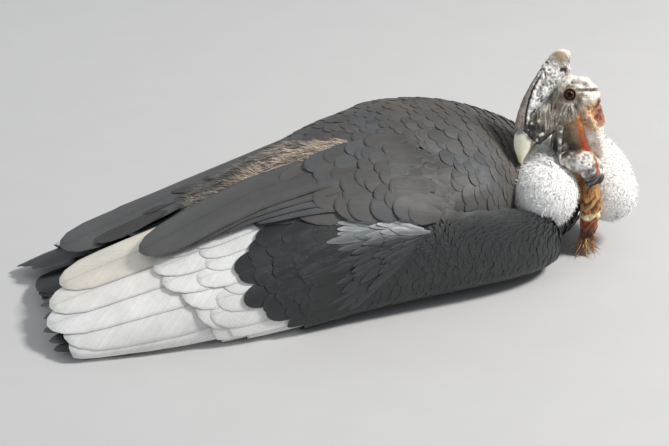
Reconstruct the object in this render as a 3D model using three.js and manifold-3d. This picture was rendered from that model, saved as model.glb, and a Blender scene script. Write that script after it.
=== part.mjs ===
// A male Andean condor, life size. It lies on its belly with the wings folded, the neck drawn in and
// the head turned back over the right shoulder, so that the left side of the face looks to the right.
// Millimetres. +X runs to the breast, +Y to the bird's left, +Z up. The origin is the middle of the
// flat under the breast, on the floor.
import * as THREE from "three";
import { mergeVertices } from "three/addons/utils/BufferGeometryUtils.js";
import Module from "manifold-3d";

const wasm = await Module();
wasm.setup();

// Driving dimensions
const GAP = 0.35; // clearance kept between pieces that touch
const BACK_HEIGHT = 205; // floor to the highest point of the back
const BODY_HALF_WIDTH = 141;
const WING_HALF_WIDTH = 208; // midline to the outer face of a folded wing
const EYE_RADIUS = 9.5;
const TARSUS_LENGTH = 120;
const VANE_EDGE = 0.55; // thickness of a feather at its edges
const VANE_RIB = 0.9; // thickness along its shaft

const SKIN_GREY = { color: 0x6e675f, roughness: 0.75, metalness: 0 };
const SKIN_BROWN = { color: 0x8a5a36, roughness: 0.7, metalness: 0 };
const FEATHER_BLACK = { color: 0x2f3133, roughness: 0.8, metalness: 0 };
const DOWN_WHITE = { color: 0xeeeeea, roughness: 0.95, metalness: 0 };
const BILL_IVORY = { color: 0xd9d6bd, roughness: 0.4, metalness: 0 };
const BILL_DARK = { color: 0x5b5a50, roughness: 0.5, metalness: 0 };
const EYE_BROWN = { color: 0x3a2012, roughness: 0.1, metalness: 0 };
const CLAW_BLACK = { color: 0x232120, roughness: 0.45, metalness: 0 };

const vector = (x, y, z) => new THREE.Vector3(x, y, z);
const radians = THREE.MathUtils.degToRad;
const mix = (a, b, t) => a + (b - a) * t;
const power = (value, exponent) => Math.sign(value) * Math.abs(value) ** exponent;

/** A smooth curve through [place, value] pairs, in rising order of place, that never overshoots. */
function profile(...keys) {
  const step = (i) => (keys[i + 1][1] - keys[i][1]) / (keys[i + 1][0] - keys[i][0]);
  const last = keys.length - 1;
  const slopes = keys.map((key, i) => {
    if (i === 0) return step(0);
    if (i === last) return step(last - 1);
    const [before, after] = [step(i - 1), step(i)];
    return before * after <= 0 ? 0 : (2 * before * after) / (before + after);
  });
  return (place) => {
    const at = THREE.MathUtils.clamp(place, keys[0][0], keys[last][0]);
    let i = 0;
    while (i < last - 1 && at > keys[i + 1][0]) i += 1;
    const width = keys[i + 1][0] - keys[i][0];
    const t = (at - keys[i][0]) / width;
    const [t2, t3] = [t * t, t * t * t];
    return (
      keys[i][1] * (2 * t3 - 3 * t2 + 1) +
      slopes[i] * width * (t3 - 2 * t2 + t) +
      keys[i + 1][1] * (3 * t2 - 2 * t3) +
      slopes[i + 1] * width * (t3 - t2)
    );
  };
}

/** Numbers from 0 to 1 that are the same on every run. */
function seeded(seed) {
  let state = seed;
  return () => {
    state = (state * 1664525 + 1013904223) % 4294967296;
    return state / 4294967296;
  };
}

/** A geometry from points and triangles of their indices, turned so that its faces point out. */
function geometryOf(points, triangles) {
  let volume = 0;
  const cross = vector(0, 0, 0);
  for (const [a, b, c] of triangles) volume += points[a].dot(cross.crossVectors(points[b], points[c]));
  const order = volume < 0 ? triangles.map(([a, b, c]) => [a, c, b]) : triangles;
  const geometry = new THREE.BufferGeometry().setFromPoints(points);
  geometry.setIndex(order.flat());
  return geometry;
}

/** A closed body through rings of equal count, with a fan to the middle of the first and last ring. */
function loft(rings) {
  const count = rings[0].length;
  const points = rings.flat();
  const triangles = [];
  for (let i = 0; i < rings.length - 1; i += 1) {
    for (let j = 0; j < count; j += 1) {
      const [a, b] = [i * count + j, i * count + ((j + 1) % count)];
      triangles.push([a, b, b + count], [a, b + count, a + count]);
    }
  }
  for (const [ring, from, turn] of [
    [rings[0], 0, 1],
    [rings.at(-1), (rings.length - 1) * count, 0],
  ]) {
    const middle = ring.reduce((sum, p) => sum.add(p), vector(0, 0, 0)).divideScalar(count);
    points.push(middle);
    for (let j = 0; j < count; j += 1) {
      const [a, b] = [from + j, from + ((j + 1) % count)];
      triangles.push(turn ? [b, a, points.length - 1] : [a, b, points.length - 1]);
    }
  }
  return geometryOf(points, triangles);
}

/** A closed sheet between an outer and an inner grid of points, split alike on both faces. */
function slab(outer, inner) {
  const [rows, columns] = [outer.length, outer[0].length];
  const points = [...outer.flat(), ...inner.flat()];
  const half = rows * columns;
  const triangles = [];
  const quad = (a, b, c, d) => triangles.push([a, b, c], [a, c, d]);
  for (let i = 0; i < rows - 1; i += 1) {
    for (let j = 0; j < columns - 1; j += 1) {
      const [a, b] = [i * columns + j, i * columns + j + 1];
      quad(a, b, b + columns, a + columns);
      triangles.push([a + half, b + columns + half, b + half]);
      triangles.push([a + half, a + columns + half, b + columns + half]);
    }
    const [left, right] = [i * columns, i * columns + columns - 1];
    quad(left, left + columns, left + columns + half, left + half);
    quad(right + columns, right, right + half, right + columns + half);
  }
  const end = (rows - 1) * columns;
  for (let j = 0; j < columns - 1; j += 1) {
    quad(j + 1, j, j + half, j + 1 + half);
    quad(end + j, end + j + 1, end + j + 1 + half, end + j + half);
  }
  return geometryOf(points, triangles);
}

/** A round tube along a smooth path; radius is a function of the share of the way along it. */
function tube(path, radius, { steps = 8, sides = 12, grow = 0, flat = 1 } = {}) {
  const curve = new THREE.CatmullRomCurve3(path);
  const frames = curve.computeFrenetFrames(steps, false);
  const rings = [];
  for (let i = 0; i <= steps; i += 1) {
    const share = i / steps;
    const stretch = i === 0 ? -grow : i === steps ? grow : 0;
    const middle = curve.getPointAt(share).addScaledVector(frames.tangents[i], stretch);
    const r = radius(share) + grow;
    rings.push(
      Array.from({ length: sides }, (_, j) => {
        const angle = (2 * Math.PI * j) / sides;
        return middle
          .clone()
          .addScaledVector(frames.normals[i], r * Math.cos(angle))
          .addScaledVector(frames.binormals[i], r * flat * Math.sin(angle));
      }),
    );
  }
  return loft(rings);
}

/** An ellipsoid of the given half axes about a point. */
function ellipsoid(middle, axes, { sides = 14, rows = 8 } = {}) {
  const geometry = new THREE.SphereGeometry(1, sides, rows);
  geometry.scale(axes.x, axes.y, axes.z);
  geometry.translate(middle.x, middle.y, middle.z);
  return geometry;
}

function solid(geometry) {
  const bare = new THREE.BufferGeometry();
  bare.setAttribute("position", geometry.getAttribute("position"));
  bare.setIndex(geometry.index);
  const merged = mergeVertices(bare, 1e-3);
  return new wasm.Manifold(
    new wasm.Mesh({
      numProp: 3,
      vertProperties: new Float32Array(merged.attributes.position.array),
      triVerts: new Uint32Array(merged.index.array),
    }),
  );
}

const joined = (...geometries) => geometries.map(solid).reduce((sum, piece) => sum.add(piece));
const cut = (body, ...tools) => tools.reduce((rest, tool) => rest.subtract(tool), body);

/** The largest closed surface of a solid, as a named mesh. */
function meshOf(name, body, finish) {
  const largest = body.decompose().reduce((a, b) => (a.volume() > b.volume() ? a : b));
  const { vertProperties, triVerts, numProp } = largest.getMesh();
  const positions = new Float32Array((vertProperties.length / numProp) * 3);
  for (let i = 0; i < positions.length / 3; i += 1) {
    positions.set(vertProperties.subarray(i * numProp, i * numProp + 3), i * 3);
  }
  const geometry = new THREE.BufferGeometry();
  geometry.setAttribute("position", new THREE.BufferAttribute(positions, 3));
  geometry.setIndex(new THREE.BufferAttribute(new Uint32Array(triVerts), 1));
  geometry.computeVertexNormals();
  const mesh = new THREE.Mesh(geometry, new THREE.MeshStandardMaterial(finish));
  mesh.name = name;
  return mesh;
}

// Torso: superellipse sections along X, flat under the breast and belly
const BODY_SUPER = 0.83; // exponent of the sections
const BODY_WAIST = 0.46; // share of the height at which a section is widest
const BODY_SIDES = 22; // even but no multiple of four, so that the belly ends in a flat
const bodyHalfWidth = profile(
  [-305, 34], [-280, 50], [-230, 74], [-170, 99], [-100, 121], [-30, 136], [60, BODY_HALF_WIDTH],
  [120, 138], [165, 131], [215, 117], [250, 99], [275, 80], [292, 56], [300, 34],
);
const bodyTop = profile(
  [-305, 78], [-280, 89], [-230, 113], [-170, 140], [-100, 168], [-30, 191], [50, BACK_HEIGHT],
  [110, 203], [165, 190], [215, 169], [250, 149], [275, 129], [292, 110], [300, 94],
);
const bodyBottom = profile(
  [-305, 48], [-280, 40], [-230, 28], [-170, 14], [-100, 2], [-40, -3], [150, -3], [180, 0],
  [215, 9], [250, 22], [275, 34], [292, 48], [300, 58],
);
const BODY_STATIONS = [-305, -280, -230, -170, -100, -30, 40, 105, 160, 210, 248, 275, 291, 300];

function bodyRing(x, grow) {
  const bottom = bodyBottom(x) - grow;
  const top = bodyTop(x) + grow;
  const middle = mix(bottom, top, BODY_WAIST);
  return Array.from({ length: BODY_SIDES }, (_, i) => {
    const angle = (2 * Math.PI * i) / BODY_SIDES;
    const rise = power(Math.sin(angle), BODY_SUPER);
    const y = (bodyHalfWidth(x) + grow) * power(Math.cos(angle), BODY_SUPER);
    const z = middle + rise * (rise > 0 ? top - middle : middle - bottom);
    return vector(x, y, Math.max(z, -grow));
  });
}

const bodyLoft = (grow) => {
  const last = BODY_STATIONS.length - 1;
  return loft(
    BODY_STATIONS.map((x, i) => {
      const ring = bodyRing(x, grow);
      const push = i === 0 ? -grow : i === last ? grow : 0;
      return ring.map((p) => vector(p.x + push, p.y, p.z));
    }),
  );
};

// Wings: one outer surface of x along the body and q around it, 0 on the back's midline and 1 at the
// widest line; feathers and the arm are set on it
const WING_SHAPE = {
  // The near wing lies out along the floor
  "-1": {
    halfWidth: profile(
      [-505, 172], [-480, 180], [-430, 190], [-350, 199], [-250, 205],
      [-100, WING_HALF_WIDTH], [60, 206], [130, 202], [175, 195], [210, 183], [233, 166], [246, 144],
    ),
    top: profile(
      [-505, 33], [-450, 56], [-350, 98], [-300, 118], [-200, 156], [-100, 186], [0, 203],
      [90, 206], [150, 190], [210, 164], [246, 140],
    ),
  },
  // The far wing is drawn in against the flank
  1: {
    halfWidth: profile(
      [-505, 112], [-480, 119], [-430, 130], [-350, 142], [-250, 153], [-100, 170], [60, 194],
      [130, 197], [175, 193], [210, 183], [233, 166], [246, 144],
    ),
    top: profile(
      [-505, 30], [-450, 45], [-350, 72], [-300, 87], [-200, 118], [-100, 148], [0, 180],
      [90, 200], [150, 190], [210, 164], [246, 140],
    ),
  },
};
const wingMiddle = profile(
  [-525, 9], [-450, 10], [-300, 14], [-150, 26], [0, 40], [150, 46], [210, 49], [246, 52],
);
const WING_SUPER = 0.8; // exponent of the wing's sections
const WING_WRAP = 1.25; // how fast the surface turns under beyond the widest line
const WING_DEPTH = -8; // the level that the surface would close to under the wing
const WING_CLEARANCE = 1.5; // the wing's lower edge stays over the floor by this

/** A point of a wing. side is -1 on the right and 1 on the left; lift stands it off the surface. */
function onWing(side, x, q, lift = 0) {
  const shape = WING_SHAPE[side];
  const place = (atX, atQ) => {
    const turn = atQ <= 1 ? Math.max(atQ, 0) ** WING_WRAP : 1 + WING_WRAP * (atQ - 1);
    const angle = (Math.PI / 2) * turn;
    const middle = wingMiddle(atX);
    const rise = power(Math.cos(angle), WING_SUPER);
    const z = middle + rise * (rise > 0 ? shape.top(atX) - middle : middle - WING_DEPTH);
    const y = shape.halfWidth(atX) * power(Math.sin(angle), WING_SUPER);
    return vector(atX, side * y, Math.max(z, WING_CLEARANCE));
  };
  const here = place(x, q);
  if (lift === 0) return here;
  const [dx, dq] = [2, 0.01];
  const base = Math.max(q, dq);
  const alongX = place(x + dx, base).sub(place(x - dx, base));
  const alongQ = place(x, base + dq).sub(place(x, base - dq));
  const normal = alongX.cross(alongQ).multiplyScalar(side).normalize();
  return here.addScaledVector(normal, lift);
}

// The arm and hand with their flesh and small coverts: [x, first q, last q, thickness]
const ARM_SECTIONS = [
  [246, 0.95, 1.08, 12], [242, 0.89, 1.2, 32], [232, 0.84, 1.3, 44], [214, 0.81, 1.37, 52],
  [175, 0.79, 1.44, 56], [120, 0.78, 1.44, 57], [65, 0.71, 1.42, 54], [25, 0.57, 1.38, 46],
  [-20, 0.42, 1.33, 36], [-80, 0.25, 1.27, 25], [-125, 0.15, 1.22, 19], [-160, 0.09, 1.16, 14],
];
const ARM_COLUMNS = 9;
const ARM_ROUNDNESS = 2.6; // exponent of the arm's section
const ARM_EDGE = 3; // thickness of the arm at its edges

function armSlab(side) {
  const grids = [[], []];
  for (const [x, first, last, thickness] of ARM_SECTIONS) {
    const rows = [[], []];
    for (let j = 0; j < ARM_COLUMNS; j += 1) {
      const share = j / (ARM_COLUMNS - 1);
      const round = Math.sqrt(1 - Math.abs(2 * share - 1) ** ARM_ROUNDNESS);
      const depth = Math.max(thickness * round, ARM_EDGE);
      const q = mix(first, last, share);
      rows[0].push(onWing(side, x, q));
      rows[1].push(onWing(side, x, q, -depth));
    }
    grids[0].push(rows[0]);
    grids[1].push(rows[1]);
  }
  return slab(...grids);
}

// Outline of a feather: how wide it is at each share of its length
const featherWidth = profile([0, 0.55], [0.3, 0.9], [0.7, 1], [0.88, 0.9], [0.96, 0.62], [1, 0.2]);
const FLIGHT_TIP = [0.86, 0.955, 1];
const COVERT_TIP = [0.84, 1];
const ROW_ROOM = 0.06; // least share of a feather's length between its last plain row and its tip's rows

/**
 * One tier of overlapping vanes on a wing. Its feathers run from a line of roots to a line of tips
 * and share one set of columns, so that each lies a whole step over the next one outward.
 */
function tier(side, { count, rootX, rows, tipX, rootQ, tipQ, lifts, step, tips = FLIGHT_TIP }) {
  const farX = Math.min(...rows, ...Array.from({ length: count }, (_, i) => tipX(i / (count - 1))));
  const columnQ = (column, x) => {
    const along = (rootX - x) / (rootX - farX);
    const share = column / (count - 1);
    return mix(mix(rootQ[0], rootQ[1], share), mix(tipQ[0], tipQ[1], share), along);
  };
  return Array.from({ length: count }, (_, i) => {
    const tip = tipX(i / (count - 1));
    const length = rootX - tip;
    const tipRows = tips.map((share) => rootX - share * length);
    const stations = [rootX, ...rows.filter((x) => x > tipRows[0] + ROW_ROOM * length), ...tipRows];
    const grids = [[], []];
    for (const x of stations) {
      const wide = featherWidth((rootX - x) / length);
      const lift = mix(lifts[0], lifts[1], 1 - (1 - (rootX - x) / (rootX - farX)) ** 3);
      const faces = [[], []];
      for (const across of [-1, 0, 1]) {
        const q = columnQ(i + across * wide, x);
        const level = lift + across * wide * step;
        const half = (across === 0 && x > tip ? VANE_RIB : VANE_EDGE) / 2;
        faces[0].push(onWing(side, x, q, level + half));
        faces[1].push(onWing(side, x, q, level - half));
      }
      grids[0].push(faces[0]);
      grids[1].push(faces[1]);
    }
    return solid(slab(...grids));
  });
}

// Tiers of the folded wing, each from the feather next the midline to the one by the floor
const WING_TIERS = {
  secondaries: {
    count: 6, rootX: -110, rows: [-205, -315], step: 1.7,
    rootQ: [0.2, 1.08], lifts: [-10, -5.5],
  },
  primaries: {
    count: 3, rootX: -110, rows: [-205, -315], step: 1.7,
    rootQ: [0.55, 0.95], lifts: [-12, -13],
  },
  greaterCoverts: {
    count: 6, rootX: -100, rows: [-190], step: 1.6, tips: COVERT_TIP,
    rootQ: [0.36, 1.2], tipQ: [0.32, 1.14], lifts: [-7, -0.4],
  },
  medianCoverts: {
    count: 5, rootX: -40, rows: [-115], step: 1.5, tips: COVERT_TIP,
    rootQ: [0.62, 1.27], tipQ: [0.6, 1.2], lifts: [-5, 2.8],
  },
  tertials: {
    count: 3, rootX: 70, rows: [-10, -90, -170, -260], step: 2.2,
    lifts: [-5, 7.2],
  },
};


// Where each feather of a tier ends: x by the share from the inner feather to the outer one
const GREATER_TIPS = profile([0, -312], [0.5, -305], [1, -258]);
const MEDIAN_TIPS = profile([0, -190], [0.35, -236], [0.7, -220], [1, -168]);
const TIER_PLACES = {
  // The near wing
  "-1": {
    secondaries: {
      tipX: profile([0, -456], [0.2, -488], [0.5, -497], [0.8, -462], [1, -392]),
      tipQ: [0.22, 1.02],
    },
    primaries: { tipX: profile([0, -503], [1, -500]), tipQ: [0.33, 0.72] },
    greaterCoverts: { tipX: GREATER_TIPS },
    medianCoverts: { tipX: MEDIAN_TIPS },
    tertials: {
      tipX: profile([0, -352], [0.5, -262], [1, -178]),
      rootQ: [0.74, 0.92], tipQ: [0.22, 0.46],
    },
  },
  // The far wing
  1: {
    secondaries: {
      tipX: profile([0, -400], [0.4, -440], [0.7, -452], [1, -405]),
      tipQ: [0.25, 1.02],
    },
    primaries: { tipX: profile([0, -470], [1, -489]), tipQ: [0.4, 0.78] },
    greaterCoverts: { tipX: GREATER_TIPS },
    medianCoverts: { tipX: MEDIAN_TIPS },
    tertials: {
      tipX: profile([0, -430], [0.5, -318], [1, -215]),
      rootQ: [0.74, 0.92], tipQ: [0.3, 0.58],
    },
  },
};

function wing(side, cutters) {
  const vanes = Object.entries(WING_TIERS).flatMap(([name, sizes]) =>
    tier(side, { ...sizes, ...TIER_PLACES[side][name] }));
  const whole = vanes.reduce((sum, vane) => sum.add(vane), solid(armSlab(side)));
  return cut(whole, ...cutters);
}

// Tail: twelve feathers in a narrow fan under the folded wings
const TAIL = {
  count: 12, rootX: -268, length: 212, width: 60,
  spread: 13, // degrees from the middle to the outermost feather
  rootSpread: 15, // sideways from the middle to the outermost root
  step: 1.6, // each feather lies this far over the next one outward
  sideStep: 0.8, // and the left half this far over the right half
  taper: 0.06, // share of the length that the outermost feather lacks
};
const tailLevel = profile([-490, 10], [-440, 15], [-380, 25], [-320, 41], [-268, 56]);
const TAIL_DROOP = 0.0011; // how far the fan falls away sideways, per square millimetre

function tailVane(index) {
  const share = (2 * index) / (TAIL.count - 1) - 1;
  const angle = radians(TAIL.spread * share);
  const rank = TAIL.count / 2 - Math.abs(index - (TAIL.count - 1) / 2);
  const above = TAIL.step * rank + (share > 0 ? TAIL.sideStep : 0);
  const length = TAIL.length * (1 - TAIL.taper * share * share);
  const grids = [[], []];
  for (const along of [0, 0.5, 0.9, 1]) {
    const wide = featherWidth(along);
    const faces = [[], []];
    for (const across of [-0.5, 0, 0.5]) {
      const v = across * TAIL.width * wide;
      const x = TAIL.rootX - length * along * Math.cos(angle) + v * Math.sin(angle);
      const y = share * TAIL.rootSpread + length * along * Math.sin(angle) + v * Math.cos(angle);
      const z = tailLevel(x) - TAIL_DROOP * y * y + above;
      const half = (across === 0 && along < 1 ? VANE_RIB : VANE_EDGE) / 2;
      faces[0].push(vector(x, y, z + half));
      faces[1].push(vector(x, y, z - half));
    }
    grids[0].push(faces[0]);
    grids[1].push(faces[1]);
  }
  return solid(slab(...grids));
}

function tail() {
  const rump = tube(
    [vector(-250, 0, 70), vector(-275, 0, 62), vector(-305, 0, 50)],
    profile([0, 32], [0.6, 27], [1, 12]),
    { steps: 3, sides: 10, flat: 0.62 },
  );
  const vanes = Array.from({ length: TAIL.count }, (_, index) => tailVane(index));
  return vanes.reduce((sum, vane) => sum.add(vane), solid(rump));
}

// Neck: out of the breast to the right, up through the collar, and into the back of the head
const NECK_PATH = [
  vector(262, -48, 68), vector(281, -60, 98), vector(290, -78, 138), vector(287, -91, 184),
  vector(299, -103, 229),
];
const neckRadius = profile([0, 40], [0.2, 41], [0.45, 38], [0.7, 36], [0.85, 32], [0.95, 24], [1, 15]);
const NECK_SPLIT = 0.42; // share of the neck's way at which its lower length ends
const NECK_POINTS = 5;

function neckLength(from, to, grow) {
  const whole = new THREE.CatmullRomCurve3(NECK_PATH);
  const path = Array.from({ length: NECK_POINTS }, (_, i) =>
    whole.getPointAt(mix(from, to, i / (NECK_POINTS - 1))));
  return tube(path, (share) => neckRadius(mix(from, to, share)), { steps: 5, sides: 16, grow });
}

// Crop: bare folded skin that hangs from the throat to the floor
const CROP_PATH = [
  vector(293, -108, 126), vector(298, -118, 92), vector(299, -116, 58),
  vector(298, -113, 34), vector(296, -108, 12),
];
const cropRadius = profile([0, 13], [0.3, 16.5], [0.62, 17.5], [0.78, 12], [1, 10]);
const cropTube = (grow) => tube(CROP_PATH, cropRadius, { steps: 7, sides: 10, flat: 0.8, grow });

// The roll of loose throat skin in front of the neck, and its dark wrinkled end
const ROLL_PATH = [
  vector(250, -114, 157), vector(268, -126, 157), vector(287, -129, 146), vector(301, -123, 122),
];
const rollRadius = profile([0, 10], [0.35, 17], [0.75, 17], [1, 13]);
const rollTube = (grow) => tube(ROLL_PATH, rollRadius, { steps: 6, sides: 10, grow });

// Ruff: a collar of locks on a low core, open towards the bird's right
const RUFF_PATH = [
  vector(225, -114, 107), vector(230, -76, 118), vector(250, -28, 124), vector(290, -4, 122),
  vector(330, -12, 110), vector(346, -48, 94), vector(343, -84, 76),
];
const RUFF_CENTRE = vector(290, -66, 0); // the neck's axis, which the collar goes round
const ruffThickness = profile([0, 51], [0.4, 40], [1, 42]);

/** The collar as a smooth tube with round ends, scaled in thickness. */
function ruffTube(share, grow, detail) {
  const thickness = (at) => share * ruffThickness(at);
  const ends = [0, 1].map((at) => {
    const reach = thickness(at) + grow;
    return ellipsoid(RUFF_PATH.at(-at), vector(reach, reach, reach), detail);
  });
  return joined(tube(RUFF_PATH, thickness, { steps: detail.steps, sides: detail.sides, grow }), ...ends);
}

// Locks of the collar: they leave its core, bend down along the lie and overlap
const CORE_SHARE = 0.46; // the core's thickness as a share of the whole collar's
const LOCK = {
  overlap: 1.12, // width as a share of the room between two sections
  least: 9, // width where the sections run together
  root: 0.3, // distance of the root from the middle line, as a share of the thickness
  thickness: 3, tipThickness: 0.6, layers: 5,
  firstAngle: 142, lastAngle: -68, bend: 46, // degrees round a section
  sections: 7, turnSections: 2, turn: 60, // degrees between sections round an end
};
const LOCK_STATIONS = [[0, 0.8], [0.6, 1], [1, 0.12]]; // [share of the length, share of the width]

/** One lock in the section plane of out and up at a point of the collar's middle line. */
function lock({ middle, out, up, thick, pivot, turn }, angle, random) {
  const side = out.clone().cross(up);
  const bend = LOCK.bend * mix(0.92, 1.08, random());
  const reach = thick * mix(0.9, 0.96, random());
  const grids = [[], []];
  for (const [along, wide] of LOCK_STATIONS) {
    const turned = radians(angle - bend * along ** 1.4);
    const radial = out.clone().multiplyScalar(Math.cos(turned)).addScaledVector(up, Math.sin(turned));
    const face = up.clone().multiplyScalar(Math.cos(turned)).addScaledVector(out, -Math.sin(turned));
    const point = middle.clone().addScaledVector(radial, mix(LOCK.root * thick, reach, along));
    const half = mix(LOCK.thickness, LOCK.tipThickness, along) / 2;
    const faces = [[], []];
    const room = turn * point.clone().sub(pivot).setZ(0).length();
    const width = Math.max(LOCK.least, LOCK.overlap * room) * wide;
    for (const across of [-0.5, 0.5]) {
      const edge = point.clone().addScaledVector(side, across * width);
      faces[0].push(edge.clone().addScaledVector(face, half));
      faces[1].push(edge.clone().addScaledVector(face, -half));
    }
    grids[0].push(faces[0]);
    grids[1].push(faces[1]);
  }
  return solid(slab(...grids));
}

/** The collar's sections: along its length, and round each of its ends. */
function ruffSections() {
  const curve = new THREE.CatmullRomCurve3(RUFF_PATH);
  const reach = RUFF_PATH[3].clone().sub(RUFF_CENTRE).setZ(0).length();
  const sweep = curve.getLength() / reach;
  const last = LOCK.sections - 1;
  return Array.from({ length: LOCK.sections + 2 * LOCK.turnSections }, (_, index) => {
    const i = index - LOCK.turnSections;
    const share = THREE.MathUtils.clamp(i / last, 0, 1);
    const beyond = i < 0 ? i : Math.max(0, i - last);
    const middle = curve.getPointAt(share);
    const tangent = curve.getTangentAt(share);
    const up = vector(0, 0, 1).addScaledVector(tangent, -tangent.z).normalize();
    const out = up.clone().cross(tangent).normalize().applyAxisAngle(up, radians(-LOCK.turn * beyond));
    const pivot = beyond ? middle : RUFF_CENTRE;
    const turn = beyond ? radians(LOCK.turn) : sweep / last;
    return { middle, out, up, thick: ruffThickness(share), odd: index % 2, pivot, turn };
  });
}

function ruff(cutters) {
  const random = seeded(7);
  const pitch = (LOCK.firstAngle - LOCK.lastAngle) / (LOCK.layers - 1);
  const locks = ruffSections().flatMap((section) =>
    Array.from({ length: LOCK.layers }, (_, layer) =>
      lock(section, LOCK.firstAngle - (layer + 0.5 * section.odd) * pitch, random)));
  const core = ruffTube(CORE_SHARE, 0, { sides: 6, rows: 4, steps: 5 });
  return cut(locks.reduce((sum, piece) => sum.add(piece), core), ...cutters);
}

// Head, in a frame of its own: x to the bill, y to the bird's left, z to the crown, the origin
// between the eyes
const HEAD_PLACE = vector(269, -91, 240);
const HEAD_FORWARD = vector(-0.738, -0.079, -0.671);
const HEAD_UP = vector(-0.601, 0.529, 0.599);
const headMatrix = new THREE.Matrix4().makeBasis(
  HEAD_FORWARD.clone().normalize(),
  HEAD_UP.clone().cross(HEAD_FORWARD).normalize(),
  HEAD_FORWARD.clone().cross(HEAD_UP.clone().cross(HEAD_FORWARD)).normalize(),
);
headMatrix.setPosition(HEAD_PLACE);

const headHalfWidth = profile(
  [-35, 11], [-28, 18.5], [-14, 25.5], [0, 26], [20, 22], [42, 17], [62, 14], [79, 12],
);
const headTop = profile([-35, -3], [-28, 11], [-15, 20], [0, 23], [40, 22.5], [79, 22]);
const headBottom = profile(
  [-35, -25], [-28, -35], [-14, -41], [6, -38], [28, -28], [50, -21], [79, -17],
);
const HEAD_STATIONS = [-35, -31, -24, -12, 2, 16, 32, 48, 64, 79];
const HEAD_SIDES = 16;
const HEAD_SUPER = 0.88; // exponent of the head's sections
const GAPE_Z = -7; // the line of the mouth
const EYE_Y = 18.5; // the eye's middle, to either side
const LID = { y: 24.6, radius: 8.2, thickness: 2.3 };

function headRing(x, grow) {
  const [top, bottom] = [headTop(x) + grow, headBottom(x) - grow];
  const middle = mix(bottom, top, 0.5);
  return Array.from({ length: HEAD_SIDES }, (_, i) => {
    const angle = (2 * Math.PI * i) / HEAD_SIDES;
    const y = (headHalfWidth(x) + grow) * power(Math.cos(angle), HEAD_SUPER);
    const z = middle + ((top - bottom) / 2) * power(Math.sin(angle), HEAD_SUPER);
    return vector(x, y, z);
  });
}

const headLoft = (grow) => loft(HEAD_STATIONS.map((x) => headRing(x, grow)));
const eyeBall = (side, grow) => {
  const radius = EYE_RADIUS + grow;
  return ellipsoid(vector(0, side * EYE_Y, 0), vector(radius, radius, radius), { sides: 12, rows: 8 });
};

/** A ring of skin round an eye. */
function lid(side, grow) {
  const ring = new THREE.TorusGeometry(LID.radius, LID.thickness + grow, 4, 12);
  ring.rotateX(Math.PI / 2);
  ring.scale(1.08, 1, 0.95);
  ring.translate(0, side * LID.y, 0);
  return ring;
}

/** The skull's mass with the folds of skin on it. */
function headMass(grow) {
  const fold = (path, radius, steps) => tube(path, radius, { steps, sides: 6, grow });
  const pieces = [headLoft(grow)];
  for (const side of [-1, 1]) {
    const ridge = [vector(-22, side * 22, 16), vector(-4, side * 25, 14), vector(16, side * 20, 12)];
    pieces.push(fold(ridge, profile([0, 3], [0.5, 5.5], [1, 3]), 3));
    const cheek = [
      vector(38, side * 14, -10), vector(20, side * 20.5, -17), vector(0, side * 25, -20),
      vector(-16, side * 25, -12),
    ];
    pieces.push(fold(cheek, profile([0, 2.5], [0.5, 4.5], [1, 3]), 4));
    const earFold = [
      vector(-19, side * 21, 12), vector(-26, side * 19, 2), vector(-27, side * 18, -12),
    ];
    pieces.push(fold(earFold, profile([0, 3], [0.5, 5.5], [1, 3]), 3));
    const nostrilRim = vector(10, 4, 6).addScalar(grow);
    pieces.push(ellipsoid(vector(60, side * 12.5, 7), nostrilRim, { sides: 8, rows: 5 }));
  }
  const nape = [vector(-25, -15, 5), vector(-31, -7, -5), vector(-31, 7, -5), vector(-25, 15, 5)];
  pieces.push(fold(nape, profile([0, 4], [0.5, 6.5], [1, 4]), 4));
  return pieces;
}

function head() {
  const tools = [];
  for (const side of [-1, 1]) {
    const ear = ellipsoid(vector(-20, side * 26, -7), vector(3.5, 5, 4.5), { sides: 8, rows: 5 });
    const gape = [
      vector(84, side * 13, GAPE_Z), vector(52, side * 17.5, GAPE_Z), vector(26, side * 23, GAPE_Z - 5),
    ];
    tools.push(eyeBall(side, GAP), ear, tube(gape, profile([0, 1.2], [1, 0.9]), { steps: 4, sides: 5 }));
  }
  // The nostrils open through the bill
  const nostril = [vector(61, -24, 8), vector(61, 0, 8), vector(61, 24, 8)];
  tools.push(tube(nostril, () => 2.6, { steps: 3, sides: 8, flat: 0.6 }));
  return cut(joined(...headMass(0), lid(-1, 0), lid(1, 0)), ...tools.map(solid));
}

// Bill: the hooked ivory sheath over the upper jaw, and the lower jaw's shorter one
const BILL_X = 79; // where the horn of the bill starts
const BILL_STATIONS = [
  // [culmen x, culmen z, edge x, edge z, half width]
  [BILL_X + GAP, 22, BILL_X + GAP, -6, 11.5], [88, 20.5, 86, -8.5, 11], [96, 16, 92, -10.5, 9.6],
  [104, 8.5, 98, -11.5, 7.6], [110, -1, 104, -12.5, 5.2], [114.5, -9.5, 110, -14, 3],
  [116, -15.5, 114, -16.5, 0.8],
];
const BILL_SIDES = 12;

/** The upper bill's sheath, or with grow a slightly larger one that cuts the comb's front end to it. */
function billUpper(grow = 0) {
  const rings = BILL_STATIONS.map(([topX, topZ, lowX, lowZ, wide], step) =>
    Array.from({ length: BILL_SIDES }, (_, i) => {
      const angle = (2 * Math.PI * i) / BILL_SIDES;
      const rise = 0.5 + 0.5 * Math.sin(angle);
      const x = mix(lowX, topX, rise) + (step ? grow : -2 * grow);
      const z = mix(lowZ - grow, topZ + grow, rise);
      return vector(x, (wide + grow) * power(Math.cos(angle), 0.8), z);
    }),
  );
  return solid(loft(rings));
}

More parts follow.
